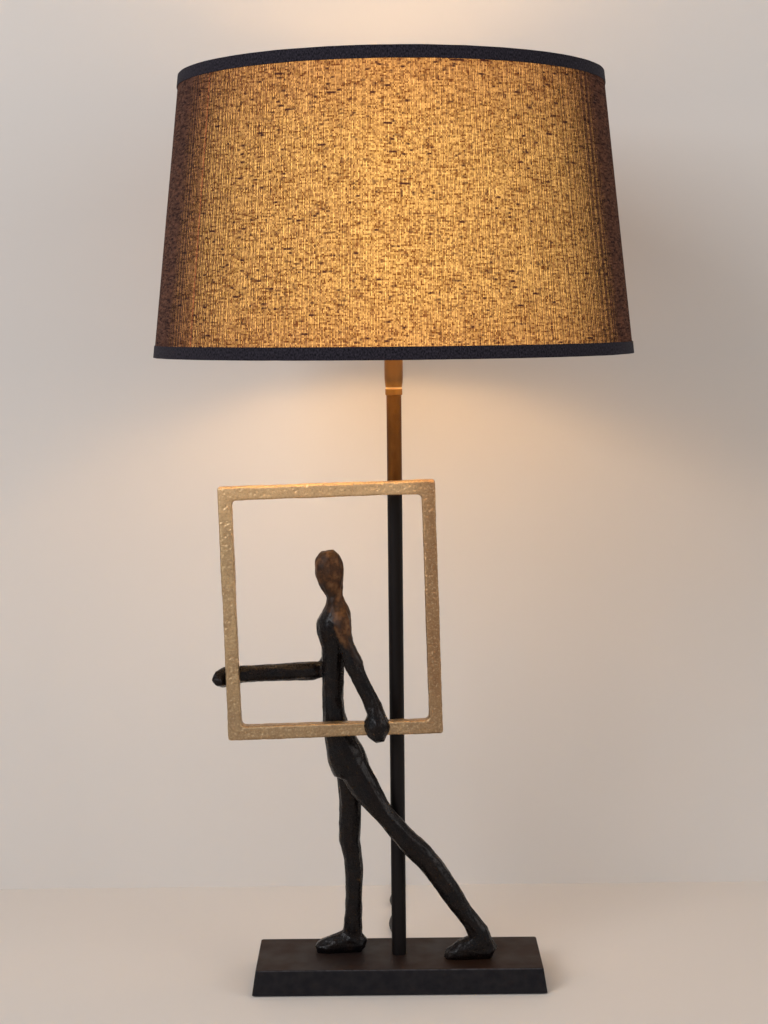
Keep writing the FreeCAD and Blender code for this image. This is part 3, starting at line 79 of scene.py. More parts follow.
# %% [markdown]
# ## A few helpers
# An operator acts on everything that is selected, and loading the model leaves it all selected.  So each
# new piece starts from an empty selection.  In edit mode, faces and edges are then chosen in code, by
# where they are or which way they face.  A finished piece gets its place written into its mesh, because
# its pattern follows object coordinates and has to stay where it is.


# %% Helpers for modelling
def deselect():
    if bpy.context.object and bpy.context.object.mode != "OBJECT":
        bpy.ops.object.mode_set(mode="OBJECT")
    bpy.ops.object.select_all(action="DESELECT")


def only(piece):
    deselect()
    piece.select_set(True)
    bpy.context.view_layer.objects.active = piece


def choose_all():
    bpy.ops.mesh.select_all(action="SELECT")


def choose(test, kind="FACE"):
    """In edit mode, select the faces, edges or vertices for which test is true."""
    bpy.ops.mesh.select_mode(type=kind)
    bpy.ops.mesh.select_all(action="DESELECT")
    mesh = bmesh.from_edit_mesh(bpy.context.object.data)
    for part in {"FACE": mesh.faces, "EDGE": mesh.edges, "VERT": mesh.verts}[kind]:
        part.select_set(test(part))
    mesh.select_flush_mode()
    bmesh.update_edit_mesh(bpy.context.object.data)


def modify(piece, kind, **settings):
    """Add a modifier, set it and apply it."""
    only(piece)
    modifier = piece.modifiers.new(kind.lower(), kind)
    for name, value in settings.items():
        setattr(modifier, name, value)
    bpy.ops.object.modifier_apply(modifier=modifier.name)


def roughen(piece, size, height, detail=2, mid_level=0.5, kind="CLOUDS"):
    """Push a skin in and out by a noise whose lumps are about size metres across."""
    noise = bpy.data.textures.new("skin_noise", kind)
    noise.noise_scale = size
    if kind == "CLOUDS":
        noise.noise_depth = detail
    modify(piece, "DISPLACE", texture=noise, texture_coords="LOCAL", strength=height, mid_level=mid_level)


def shaped(scale):
    """Give the new primitive its size, and open it for editing."""
    piece = bpy.context.object
    piece.scale = scale
    bpy.ops.object.transform_apply(location=True, rotation=True, scale=True)
    bpy.ops.object.mode_set(mode="EDIT")
    return piece


def block(middle, size):
    deselect()
    bpy.ops.mesh.primitive_cube_add(size=1, location=middle)
    return shaped(size)


def upright_plate(middle, width, height):
    deselect()
    bpy.ops.mesh.primitive_plane_add(size=1, location=middle, rotation=(math.radians(90), 0, 0))
    return shaped((width, height, 1))


def join(pieces):
    deselect()
    for piece in pieces:
        piece.select_set(True)
    bpy.context.view_layer.objects.active = pieces[0]
    bpy.ops.object.join()
    return pieces[0]


def settle(piece, name, body, slot, material, *stands_for, smooth=40):
    """Write the piece's place into its mesh, name and dress it, and hand it to its body."""
    only(piece)
    bpy.ops.object.transform_apply(location=True, rotation=True, scale=True)
    bpy.ops.object.shade_smooth_by_angle(angle=math.radians(smooth))
    piece.name = piece.data.name = name
    piece.data.materials.clear()
    piece.data.materials.append(material)
    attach(piece, body)
    if stands_for:
        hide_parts(*stands_for)
    print(name, len(piece.data.polygons), "faces")


# %% [markdown]
# A finish is a small network of shader nodes.  The helper below makes an empty one with a Principled
# shader, and gives short ways to add the nodes that nearly every finish here needs: noise, a stretched
# range, a mix of two colours, a bump, and a bit of arithmetic.


# %% Helpers for finishes
class Finish:
    """A material under construction: its methods add nodes, and most return the last one's output."""

    def __init__(self, name, color, roughness, metallic=0.0, specular=0.5):
        self.material = bpy.data.materials.new(name)
        self.material.use_nodes = True
        self.tree = self.material.node_tree
        self.shader = self.tree.nodes["Principled BSDF"]
        self.output = self.tree.nodes["Material Output"]
        self.set("Base Color", (*color, 1))
        self.set("Roughness", roughness)
        self.set("Metallic", metallic)
        self.set("Specular IOR Level", specular)
        self.material.diffuse_color = (*color, 1)

    def set(self, socket, value):
        """Give a shader socket a constant or another node's output."""
        if isinstance(value, bpy.types.NodeSocket):
            self.tree.links.new(value, self.shader.inputs[socket])
        else:
            self.shader.inputs[socket].default_value = value

    def add(self, kind, inputs=None, output=0, **settings):
        node = self.tree.nodes.new(kind)
        for name, value in settings.items():
            setattr(node, name, value)
        for name, value in (inputs or {}).items():
            if isinstance(value, bpy.types.NodeSocket):
                self.tree.links.new(value, node.inputs[name])
            else:
                node.inputs[name].default_value = value
        return node.outputs[output]

    def place(self, scale=(1, 1, 1), turn=(0, 0, 0)):
        """Object coordinates, turned and stretched."""
        here = self.add("ShaderNodeTexCoord", output="Object")
        return self.add("ShaderNodeMapping", {"Vector": here, "Scale": scale, "Rotation": turn})

    def noise(self, size, detail=3.0, rough=0.55, where=None, distortion=0.0):
        """Noise whose lumps are about size metres across."""
        vector = where if where is not None else self.place()
        return self.add("ShaderNodeTexNoise", {"Vector": vector, "Scale": 1 / size, "Detail": detail,
                                               "Roughness": rough, "Distortion": distortion}, output="Fac")

    def cells(self, size):
        """The distance to the nearest of many points, which lie about size metres apart."""
        inputs = {"Vector": self.place(), "Scale": 1 / size}
        return self.add("ShaderNodeTexVoronoi", inputs, output="Distance")

    def math(self, operation, first, second=0.0, third=0.0):
        return self.add("ShaderNodeMath", {0: first, 1: second, 2: third}, operation=operation)

    def times(self, first, second):
        return self.math("MULTIPLY", first, second)

    def between(self, value, low, high, to_low=0.0, to_high=1.0, smooth=False):
        """Stretch low..high to another range, held at its ends."""
        kind = "SMOOTHSTEP" if smooth else "LINEAR"
        limits = {"Value": value, "From Min": low, "From Max": high, "To Min": to_low, "To Max": to_high}
        return self.add("ShaderNodeMapRange", limits, interpolation_type=kind)

    def mix(self, factor, first, second, blend="MIX"):
        """Mix two colours."""
        node = self.tree.nodes.new("ShaderNodeMix")
        node.data_type = "RGBA"
        node.blend_type = blend
        for socket, value in ((0, factor), (6, first), (7, second)):
            if isinstance(value, bpy.types.NodeSocket):
                self.tree.links.new(value, node.inputs[socket])
            else:
                node.inputs[socket].default_value = value if socket == 0 else (*value, 1)
        return node.outputs[2]

    def height(self, socket="Z"):
        here = self.add("ShaderNodeTexCoord", output="Object")
        return self.add("ShaderNodeSeparateXYZ", {"Vector": here}, output=socket)

    def vary_gloss(self, patch, glossy, dull):
        """A gloss that changes over patches of about patch metres."""
        self.set("Roughness", self.between(self.noise(patch), 0.3, 0.7, glossy, dull))

    def bump(self, height, depth, strength=1.0, under=None):
        """A bump whose full height is depth metres."""
        inputs = {"Height": height, "Distance": depth, "Strength": strength}
        if under is not None:
            inputs["Normal"] = under
        normal = self.add("ShaderNodeBump", inputs)
        self.set("Normal", normal)
        return normal


# %% [markdown]
# ## The studio
# A pale floor and a pale wall stand where the photograph has its table and wall.  The wall meets the floor
# at the back of the table's place, and has a low gateway behind the pole for the lead, which lies put away
# behind it.  Seen from behind, the wall lets the view through, so that the lamp's back shows too.

# %% Floor and wall
WALL_DISTANCE = 0.225
WALL_GATE = (-0.0048, 0.0076, 0.0085)      # left, right and top of the gateway
STUDIO_HALF_WIDTH = 3.0
STUDIO_HEIGHT = 3.2

studio_paint = Finish("pale_studio_paint", (0.68, 0.63, 0.585), 0.92, specular=0.15)
studio_paint.bump(studio_paint.noise(0.003, detail=2), 0.0001, 0.15)

deselect()
bpy.ops.mesh.primitive_plane_add(size=2 * STUDIO_HALF_WIDTH, location=(0, 0, 0))
floor = bpy.context.object
floor.name = "studio_floor"
floor.data.materials.append(studio_paint.material)

wall = upright_plate((0, WALL_DISTANCE, STUDIO_HEIGHT / 2), 2 * STUDIO_HALF_WIDTH, STUDIO_HEIGHT)
wall.name = "studio_wall"
gate_left, gate_right, gate_top = WALL_GATE
across, up = Vector((1, 0, 0)), Vector((0, 0, 1))
for cut, normal in ((across * gate_left, across), (across * gate_right, across), (up * gate_top, up)):
    choose_all()
    bpy.ops.mesh.bisect(plane_co=cut, plane_no=normal)
choose(lambda f: gate_left < f.calc_center_median().x < gate_right and f.calc_center_median().z < gate_top)
bpy.ops.mesh.delete(type="FACE")
bpy.ops.object.mode_set(mode="OBJECT")

wall_paint = Finish("pale_wall_paint", (0.66, 0.62, 0.585), 0.92, specular=0.15)
behind = wall_paint.add("ShaderNodeNewGeometry", output="Backfacing")
clear = wall_paint.add("ShaderNodeBsdfTransparent")
sides = wall_paint.tree.nodes.new("ShaderNodeMixShader")
wall_paint.tree.links.new(behind, sides.inputs[0])
wall_paint.tree.links.new(wall_paint.shader.outputs[0], sides.inputs[1])
wall_paint.tree.links.new(clear, sides.inputs[2])
wall_paint.tree.links.new(sides.outputs[0], wall_paint.output.inputs["Surface"])
wall.data.materials.append(wall_paint.material)

# %% [markdown]
# Plain soft light: an even world, a large window-like panel at the front left, and weaker ones at the
# right and behind.  Together they light a surface about as bright as its own colour is written.

# %% Lights
WORLD_STRENGTH = 0.40
LAMP_MIDDLE = Vector((0, 0, 0.35))


def soft_panel(name, place, size, power, color):
    deselect()
    bpy.ops.object.light_add(type="AREA", location=place)
    lamp = bpy.context.object
    lamp.name = name
    lamp.data.shape = "RECTANGLE"
    lamp.data.size, lamp.data.size_y = size
    lamp.data.energy = power
    lamp.data.color = color
    lamp.rotation_euler = (LAMP_MIDDLE - Vector(place)).to_track_quat("-Z", "Y").to_euler()


soft_panel("window_left", (-1.5, -1.7, 1.5), (1.2, 1.4), 33.0, (0.93, 0.96, 1.0))
soft_panel("fill_right", (1.9, -1.2, 1.0), (1.0, 1.2), 11.0, (1.0, 0.97, 0.93))
soft_panel("rear_left", (-1.2, 1.7, 1.6), (1.2, 1.2), 12.0, (1.0, 0.97, 0.93))

world = bpy.data.worlds.new("soft_studio")
bpy.context.scene.world = world
world.use_nodes = True
world.node_tree.nodes["Background"].inputs["Color"].default_value = (0.96, 0.97, 1.0, 1)
world.node_tree.nodes["Background"].inputs["Strength"].default_value = WORLD_STRENGTH
bpy.context.scene.view_settings.view_transform = "Standard"

# %% [markdown]
# ## The supply lead
# A round 5 mm lead leaves the plinth at the back, drops onto the table and runs away behind the pole in
# loose waves, through the gateway to a small rocker switch.  Past the switch it is wound into a neat coil
# with a tie, and ends in a flat two-pin plug.  A lead is one smooth curve: its control points are given
# one by one where it lies loose, and a loop works out the turns of the coil.

# %% Black sheath
cable_finish = Finish("black_cable_sheath", (0.009, 0.006, 0.005), 0.42, specular=0.22)
cable_finish.bump(cable_finish.noise(0.0012, detail=2), 0.00006, 0.4)
cable_finish.vary_gloss(0.012, 0.36, 0.52)


def lay_lead(name, points):
    """A round lead along one smooth curve."""
    deselect()
    curve = bpy.data.curves.new(name, "CURVE")
    curve.dimensions = "3D"
    spline = curve.splines.new("NURBS")
    spline.points.add(len(points) - 1)
    for control, place in zip(spline.points, points):
        control.co = (*place, 1)
    spline.order_u = 3
    spline.use_endpoint_u = True
    spline.resolution_u = 6
    curve.bevel_depth = LEAD_DIAMETER / 2
    curve.bevel_resolution = 4
    curve.use_fill_caps = True
    lead = bpy.data.objects.new(name, curve)
    bpy.context.collection.objects.link(lead)
    curve.materials.append(cable_finish.material)
    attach(lead, "lamp")
    return lead


# %% From the plinth to the switch
LEAD_DIAMETER = 5 * MM
LEAD_ON_TABLE = LEAD_DIAMETER / 2
LEAD_IN_BASE = 6.5 * MM
SWITCH_LEAD_HEIGHT = 8 * MM
SWITCH_LEAD_SEAT = 6 * MM

bush_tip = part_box("cord_bush")[1].y
switch_low, switch_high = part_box("switch_base")
switch_middle = (switch_low.y + switch_high.y) / 2
switch_in = Vector((switch_low.x + SWITCH_LEAD_SEAT, switch_middle, SWITCH_LEAD_HEIGHT))
switch_out = Vector((switch_high.x - SWITCH_LEAD_SEAT, switch_middle, SWITCH_LEAD_HEIGHT))
route_to_switch = [
    Vector((0, bush_tip, LEAD_IN_BASE)),
    Vector((0, 0.073, LEAD_IN_BASE)),
    Vector((-0.0024, 0.092, LEAD_ON_TABLE + 0.0006)),
    Vector((-0.0056, 0.115, LEAD_ON_TABLE)),
    Vector((-0.0034, 0.134, LEAD_ON_TABLE)),
    Vector((0.0014, 0.154, LEAD_ON_TABLE)),
    Vector((-0.0058, 0.175, LEAD_ON_TABLE)),
    Vector((0.0002, 0.200, LEAD_ON_TABLE)),
    Vector((0.0020, 0.223, LEAD_ON_TABLE)),
    Vector((0.0085, 0.2405, LEAD_ON_TABLE)),
    Vector((0.0205, 0.2498, LEAD_ON_TABLE + 0.0016)),
    Vector((0.036, switch_in.y, switch_in.z)),
    switch_in,
]
lead_to_switch = lay_lead("lead_to_switch", route_to_switch)
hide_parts("cord_to_switch")

# %% Strap round the coil
STRAP_THICKNESS = 0.6 * MM
strap_low, strap_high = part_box("coil_tie")
strap = block((strap_low + strap_high) / 2, strap_high - strap_low)
choose(lambda e: abs(e.verts[0].co.y - e.verts[1].co.y) > 5 * MM, "EDGE")
bpy.ops.mesh.bevel(offset=2.4 * MM, segments=5, affect="EDGES")
choose(lambda f: abs(f.normal.y) > 0.9)
bpy.ops.mesh.inset(thickness=STRAP_THICKNESS)
bpy.ops.mesh.bridge_edge_loops()
choose_all()
bpy.ops.mesh.normals_make_consistent(inside=False)
bpy.ops.object.mode_set(mode="OBJECT")
modify(strap, "BEVEL", width=0.15 * MM, segments=2)

strap_finish = Finish("woven_strap", (0.02, 0.02, 0.021), 0.85, specular=0.2)
strap_weave = strap_finish.noise(0.0006, 2, 0.5, strap_finish.place(scale=(1, 0.35, 1)))
strap_finish.set("Base Color", strap_finish.mix(strap_weave, (0.010, 0.010, 0.011), (0.045, 0.045, 0.047)))
strap_finish.set("Sheen Weight", 0.3)
strap_finish.bump(strap_weave, 0.2 * MM, 0.8)
settle(strap, "coil_strap", "lamp", "black_cable", strap_finish.material, "coil_tie")

# %% The coil, and on to the plug
COIL_CENTRE_X = 0.138
COIL_INNER_RADIUS = 23.4 * MM
COIL_PITCH = 5.7 * MM
COIL_RISE = 5.6 * MM
COIL_SIDESTEP = 1.0 * MM
COIL_LAYERS = 4
TURNS_PER_LAYER = 1.5
COIL_OUTER_RADIUS = COIL_INNER_RADIUS + TURNS_PER_LAYER * COIL_PITCH
COIL_TURNS = COIL_LAYERS * TURNS_PER_LAYER + (COIL_LAYERS - 1) * 0.5
COIL_FLOOR = 0.7 * MM + LEAD_DIAMETER / 2
POINTS_PER_TURN = 24
coil_centre = Vector((COIL_CENTRE_X, switch_middle - 0.001 + COIL_OUTER_RADIUS, 0))


def coil_point(turn):
    """Where the coil is after so many turns: in, half a turn of climbing, out, and so on."""
    stage = TURNS_PER_LAYER + 0.5
    layer = min(int(turn / stage), COIL_LAYERS - 1)
    within = turn - layer * stage
    inwards = layer % 2 == 0
    travel = min(within, TURNS_PER_LAYER) * COIL_PITCH
    radius = COIL_OUTER_RADIUS - travel if inwards else COIL_INNER_RADIUS + travel
    height = COIL_FLOOR + layer * COIL_RISE
    if within > TURNS_PER_LAYER:
        climb = (within - TURNS_PER_LAYER) / 0.5
        radius += COIL_SIDESTEP * math.sin(math.pi * climb) * (-1 if inwards else 1)
        height += COIL_RISE * (1 - math.cos(math.pi * climb)) / 2
    angle = math.radians(360 * turn - 90)
    return coil_centre + Vector((radius * math.cos(angle), radius * math.sin(angle), height))


coil_turns = [coil_point(k / POINTS_PER_TURN) for k in range(int(COIL_TURNS * POINTS_PER_TURN) + 1)]
coil_slope = COIL_PITCH / (2 * math.pi * COIL_OUTER_RADIUS)
heading_in = Vector((1, coil_slope, 0)).normalized()
heading_out = Vector((-1, coil_slope, 0)).normalized()
plug_low, plug_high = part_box("plug_body")
plug_sleeve = Vector((plug_high.x, (plug_low.y + plug_high.y) / 2, (plug_low.z + plug_high.z) / 2))
coil_start = coil_turns[0] - heading_in * LEAD_DIAMETER
coil_end = coil_turns[-1] + heading_out * LEAD_DIAMETER
route_to_plug = [
    switch_out,
    switch_out + Vector((0.013, 0, 0)),
    coil_start - heading_in * 0.011,
    coil_start,
    *coil_turns,
    coil_end,
    coil_end + heading_out * 0.013,
    Vector((0.101, 0.312, 0.014)),
    plug_sleeve + Vector((0.015, 0, 0)),
    plug_sleeve,
]
lead_to_plug = lay_lead("lead_to_plug", route_to_plug)
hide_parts("cord_to_coil", "cord_coil", "cord_to_plug")

# %% [markdown]
# ## The shade's cloth
# The shade is a hard drum: a woven cloth glued round a stiff white film.  The cloth is made as a cone with
# an open top and foot, cut into rows.  Where its two ends overlap, a little over 50 degrees to the left of
# the front, the upper layer stands out by half a millimetre.

# %% Cloth cone
SHADE_FOOT, SHADE_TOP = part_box("bottom_trim")[0].z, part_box("top_trim")[1].z
SHADE_FOOT_RADIUS, SHADE_TOP_RADIUS = 0.175, 0.153
SHADE_MEAN_RADIUS = 0.165
TAPE_THICKNESS = 0.7 * MM
CLOTH_THICKNESS = 0.6 * MM
YARN_HEIGHT = 0.34 * MM
WARP_YARNS = 1200
SIDES_PER_YARN = 4
CLOTH_SIDES = WARP_YARNS * SIDES_PER_YARN
SEAM_BEARING = math.radians(-142.5)
OVERLAP_SIDES = CLOTH_SIDES // 20
OVERLAP_HEIGHT = 0.45 * MM


def shade_radius(z):
    share = (z - SHADE_FOOT) / (SHADE_TOP - SHADE_FOOT)
    return SHADE_FOOT_RADIUS + (SHADE_TOP_RADIUS - SHADE_FOOT_RADIUS) * share


cloth_low, cloth_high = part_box("shade_fabric")[0].z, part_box("shade_fabric")[1].z
foot_radius, top_radius = (shade_radius(z) - TAPE_THICKNESS - YARN_HEIGHT for z in (cloth_low, cloth_high))
deselect()
bpy.ops.mesh.primitive_cone_add(vertices=CLOTH_SIDES, radius1=foot_radius, radius2=top_radius,
                                depth=cloth_high - cloth_low, end_fill_type="NOTHING",
                                location=(0, 0, (cloth_low + cloth_high) / 2))
cloth = bpy.context.object
bpy.ops.object.transform_apply(location=True)
bpy.ops.object.mode_set(mode="EDIT")
choose(lambda e: abs(e.verts[0].co.z - e.verts[1].co.z) > 0.1, "EDGE")
bpy.ops.mesh.subdivide(number_cuts=3)


def past_seam(place):
    """Sides to the left of the seam's edge, seen from in front."""
    turn = (SEAM_BEARING - math.atan2(place.y, place.x)) % (2 * math.pi)
    return turn / (2 * math.pi) * CLOTH_SIDES


def stand_out(height_of):
    """Move the selected vertices of the cloth straight outwards."""
    mesh = bmesh.from_edit_mesh(cloth.data)
    for corner in mesh.verts:
        if corner.select:
            corner.co += Vector((corner.co.x, corner.co.y, 0)).normalized() * height_of(corner)
    bmesh.update_edit_mesh(cloth.data)


def overlap_height(corner):
    """Highest at the seam's edge, and nothing where the overlap ends."""
    share = min(past_seam(corner.co) % CLOTH_SIDES, OVERLAP_SIDES) / OVERLAP_SIDES
    return OVERLAP_HEIGHT * (1 - share)


choose(lambda f: past_seam(f.calc_center_median()) < OVERLAP_SIDES)
bpy.ops.mesh.extrude_region_move(TRANSFORM_OT_translate={"value": (0, 0, 0)})
stand_out(overlap_height)
choose_all()
bpy.ops.mesh.remove_doubles(threshold=0.005 * MM)
bpy.ops.object.mode_set(mode="OBJECT")
modify(cloth, "SOLIDIFY", thickness=CLOTH_THICKNESS - YARN_HEIGHT, offset=-1.0)
roughen(cloth, 0.06, 0.5 * MM)

# %% [markdown]
# Lit from inside, such a cloth glows through the gaps between its yarns, and fades towards its sides, where
# one looks along the cloth and the yarns hide the gaps.  Real relief does that from every side, so the
# upright yarns are extruded: one side of the cone in four stands out by about half a gap's width.  The
# yarns are spaced a little unevenly, as woven ones are.  A vertex attribute remembers which corners stand
# out, so that the finish can keep the glow down in the gaps.

# %% Upright yarns
spacing = random.Random(4)
yarn_places = [spacing.randint(0, 1) for _ in range(WARP_YARNS)]


def on_a_yarn(face):
    middle = face.calc_center_median()
    if face.normal.x * middle.x + face.normal.y * middle.y < 0.9 * math.hypot(middle.x, middle.y):
        return False
    turn = math.atan2(middle.y, middle.x) % (2 * math.pi) / (2 * math.pi) * CLOTH_SIDES
    number, side = divmod(math.floor(turn), SIDES_PER_YARN)
    return side == yarn_places[number]


bpy.ops.object.mode_set(mode="EDIT")
bmesh.from_edit_mesh(cloth.data).verts.layers.float.new("raised")
choose(on_a_yarn)
bpy.ops.mesh.extrude_region_move(TRANSFORM_OT_translate={"value": (0, 0, 0)})
stand_out(lambda v: YARN_HEIGHT)
mesh = bmesh.from_edit_mesh(cloth.data)
raised = mesh.verts.layers.float["raised"]
for corner in mesh.verts:
    corner[raised] = float(corner.select)
bmesh.update_edit_mesh(cloth.data)
bpy.ops.object.mode_set(mode="OBJECT")

# %% [markdown]
# The weave itself is drawn on the unrolled cloth: once round for u, up for v.  Each yarn has its own tone,
# which changes along it, and each crossing is a little more open or closed than the next.  Thick dark slubs
# lie along the yarns here and there.

# %% Cloth finish
GLOW_MIDDLE = 0.566
WARP_PITCH = 2 * math.pi * SHADE_MEAN_RADIUS / WARP_YARNS
WEFT_PITCH = 1.0 * MM
YARN_STRIDE = 1.73               # how far apart in the noise two neighbouring yarns are

melange = Finish("melange_shade_cloth", (0.085, 0.055, 0.045), 0.9, specular=0.1)
melange.set("Emission Strength", 1.0)
melange.set("Sheen Weight", 0.15)
melange.set("Sheen Roughness", 0.5)
melange.set("Sheen Tint", (0.5, 0.36, 0.32, 1))

from_seam = melange.place(turn=(0, 0, math.radians(-180) - SEAM_BEARING))
cloth_x = melange.add("ShaderNodeSeparateXYZ", {"Vector": from_seam}, output="X")
cloth_z = cloth_x.node.outputs["Z"]
bearing = melange.math("ARCTAN2", cloth_x.node.outputs["Y"], cloth_x)
cloth_u = melange.times(bearing, SHADE_MEAN_RADIUS)
waver = melange.noise(0.06, 2)
cloth_v = melange.math("MULTIPLY_ADD", waver, 0.006, cloth_z)


def yarn_number(across, pitch):
    return melange.math("FLOOR", melange.times(across, 1 / pitch))


def yarn(pitch, along, across, stretch, seed, detail=2.0):
    """The tone of each yarn: one value across it, changing every stretch metres along it."""
    place = melange.add("ShaderNodeCombineXYZ", {
        "X": melange.times(along, 1 / stretch),
        "Y": melange.times(yarn_number(across, pitch), YARN_STRIDE), "Z": seed})
    return melange.noise(1, detail, 0.6, place)


weft = yarn(WEFT_PITCH, cloth_u, cloth_v, 0.009, 0.0, 3.5)
warp = yarn(WARP_PITCH, cloth_v, cloth_u, 0.009, 3.1, 3.5)
crossing_place = melange.add("ShaderNodeCombineXYZ", {"X": yarn_number(cloth_u, WARP_PITCH),
                                                      "Y": yarn_number(cloth_v, WEFT_PITCH)})
crossing = melange.add("ShaderNodeTexWhiteNoise", {"Vector": crossing_place}, output="Value")
clouding = melange.noise(0.022, 3, 0.6)
weave = melange.math("MULTIPLY_ADD", warp, 0.72, weft)
weave = melange.math("MULTIPLY_ADD", crossing, 0.46, weave)
weave = melange.math("MULTIPLY_ADD", clouding, 0.10, weave)
openness = melange.between(weave, 0.86, 1.44)
glow = melange.mix(openness, (0.34, 0.095, 0.006), (1.66, 0.88, 0.215))
clusters = melange.math("SUBTRACT", melange.noise(0.012, 2), 0.5)
weft_slubs = yarn(1.35 * MM, cloth_u, cloth_v, 0.0068, 7.7, 1.5)
weft_slubs = melange.math("MULTIPLY_ADD", clusters, 0.25, weft_slubs)
warp_slubs = yarn(1.2 * MM, cloth_v, cloth_u, 0.0042, 11.3, 1.0)
dark_weft = melange.between(weft_slubs, 0.27, 0.38, 1.0, 0.0)
dark_warp = melange.between(warp_slubs, 0.26, 0.34, 0.8, 0.0)
slub = melange.math("MAXIMUM", dark_weft, dark_warp)
glow = melange.mix(slub, glow, (0.14, 0.040, 0.014))

# %% Where the glow shows, and the cloth's own colour
away = melange.math("ABSOLUTE", melange.math("SUBTRACT", cloth_z, GLOW_MIDDLE))
reach = melange.between(away, 0.035, 0.13, 1.0, 0.72, smooth=True)
overlap_turn = 2 * math.pi * OVERLAP_SIDES / CLOTH_SIDES
doubled = melange.between(bearing, math.pi - overlap_turn, math.pi - overlap_turn * 0.3, 1.0, 0.85)
edge_shadow = melange.between(bearing, math.pi - 0.006, math.pi, 1.0, 0.3)
height_above_gap = melange.add("ShaderNodeAttribute", output="Fac", attribute_name="raised")
in_a_gap = melange.between(height_above_gap, 0.02, 0.25, 1.0, 0.0)
strength = melange.times(melange.times(reach, doubled), edge_shadow)
redder = melange.math("POWER", strength, 1.6)
strength = melange.times(strength, in_a_gap)
redder = melange.times(redder, in_a_gap)
dimmer = melange.add("ShaderNodeCombineXYZ", {"X": strength, "Y": redder, "Z": redder})
melange.set("Emission Color", melange.mix(1.0, glow, dimmer, "MULTIPLY"))
yarn_tone = melange.between(weft, 0.36, 0.62)
yarn_color = melange.mix(yarn_tone, (0.030, 0.017, 0.016), (0.135, 0.072, 0.055))
melange.set("Base Color", melange.mix(slub, yarn_color, (0.020, 0.014, 0.016)))
melange.bump(weave, 0.5 * MM, 1.0)
settle(cloth, "shade_cloth", "shade", "shade_cloth", melange.material, "shade_fabric", smooth=30)

# %% [markdown]
# ## Binding tape on both rims
# Each rim is bound with a dark tape, folded over the wire ring inside: an outer leg, an inner leg and the
# fold between them.  Each of the three is drawn as a thin plate with rounded corners and spun round the
# axis.  The plate's face is taken away first, so that only its outline is spun, and the band closes on
# itself.

# %% Tape finish
RIB_WIDTH, RIB_LENGTH = 0.9 * MM, 1.6 * MM

tape_finish = Finish("navy_binding_tape", (0.014, 0.012, 0.018), 0.85, specular=0.12)
tape_x = tape_finish.height("X")
tape_up = tape_x.node.outputs["Z"]
tape_bearing = tape_finish.math("ARCTAN2", tape_x.node.outputs["Y"], tape_x)
tape_round = tape_finish.times(tape_bearing, SHADE_MEAN_RADIUS)
ribs = tape_finish.add("ShaderNodeCombineXYZ", {"X": tape_finish.times(tape_round, 1 / RIB_WIDTH),
                                                "Y": tape_finish.times(tape_up, 1 / RIB_LENGTH)})
rib = tape_finish.noise(1, 2, 0.6, ribs)
rib_tone = tape_finish.between(rib, 0.32, 0.7)
tape_finish.set("Base Color", tape_finish.mix(rib_tone, (0.0012, 0.0012, 0.003), (0.036, 0.030, 0.041)))
tape_finish.set("Sheen Weight", 0.03)
tape_finish.set("Sheen Roughness", 0.4)
tape_finish.set("Sheen Tint", (0.5, 0.48, 0.6, 1))
tape_finish.bump(rib, 0.3 * MM, 0.9)


# %% Tapes
TAPE_WIDTH = 8.6 * MM
SHADE_SLANT = (SHADE_TOP_RADIUS - SHADE_FOOT_RADIUS) / (SHADE_TOP - SHADE_FOOT)
RIM_BUNDLE = 5.9 * MM            # from the tape's outside to its inner leg, over cloth, film and wire
SPIN_STEPS = 180


def spun_outline(middle, width, height, rounding):
    """A closed band: a thin plate's outline, rounded, slanted, and spun once round Z."""
    band = upright_plate(middle, width, height)
    choose_all()
    bpy.ops.mesh.bevel(offset=rounding, segments=3, affect="VERTICES")
    mesh = bmesh.from_edit_mesh(band.data)
    for corner in mesh.verts:
        corner.co.x += (corner.co.z - middle[2]) * SHADE_SLANT
    bmesh.update_edit_mesh(band.data)
    bpy.ops.mesh.delete(type="ONLY_FACE")
    choose_all()
    bpy.ops.mesh.spin(steps=SPIN_STEPS, angle=2 * math.pi, center=(0, 0, 0), axis=(0, 0, 1))
    choose_all()
    bpy.ops.mesh.remove_doubles(threshold=0.01 * MM)
    bpy.ops.mesh.normals_make_consistent(inside=False)
    bpy.ops.object.mode_set(mode="OBJECT")
    return band


for rim, rim_z, inward in (("top", SHADE_TOP, -1), ("bottom", SHADE_FOOT, 1)):
    leg_z = rim_z + inward * TAPE_WIDTH / 2
    legs = []
    for inset in (0.0, RIM_BUNDLE):
        middle = (shade_radius(leg_z) - inset - TAPE_THICKNESS / 2, 0, leg_z)
        legs.append(spun_outline(middle, TAPE_THICKNESS, TAPE_WIDTH, 0.28 * MM))
    fold_z = rim_z + inward * TAPE_THICKNESS / 2
    fold_width = RIM_BUNDLE + TAPE_THICKNESS
    middle = (shade_radius(fold_z) - fold_width / 2, 0, fold_z)
    legs.append(spun_outline(middle, fold_width, TAPE_THICKNESS, 0.3 * MM))
    tape = join(legs)
    roughen(tape, 0.018, 0.35 * MM)
    settle(tape, rim + "_tape", "shade", "navy_tape", tape_finish.material, rim + "_trim", smooth=50)


# %% [markdown]
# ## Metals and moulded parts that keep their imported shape
# Turned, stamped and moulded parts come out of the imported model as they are.  What they need is their
# surface: each finish gets its own unevenness in gloss and a faint relief at the scale of the real part.

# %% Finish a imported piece
def dress(finish, *names):
    for name in names:
        for material_slot in nodes[name].material_slots:
            material_slot.material = finish.material
    print(finish.material.name, "on", ", ".join(names))


# %% Black cast plinth
PLINTH_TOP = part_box("plinth")[1].z

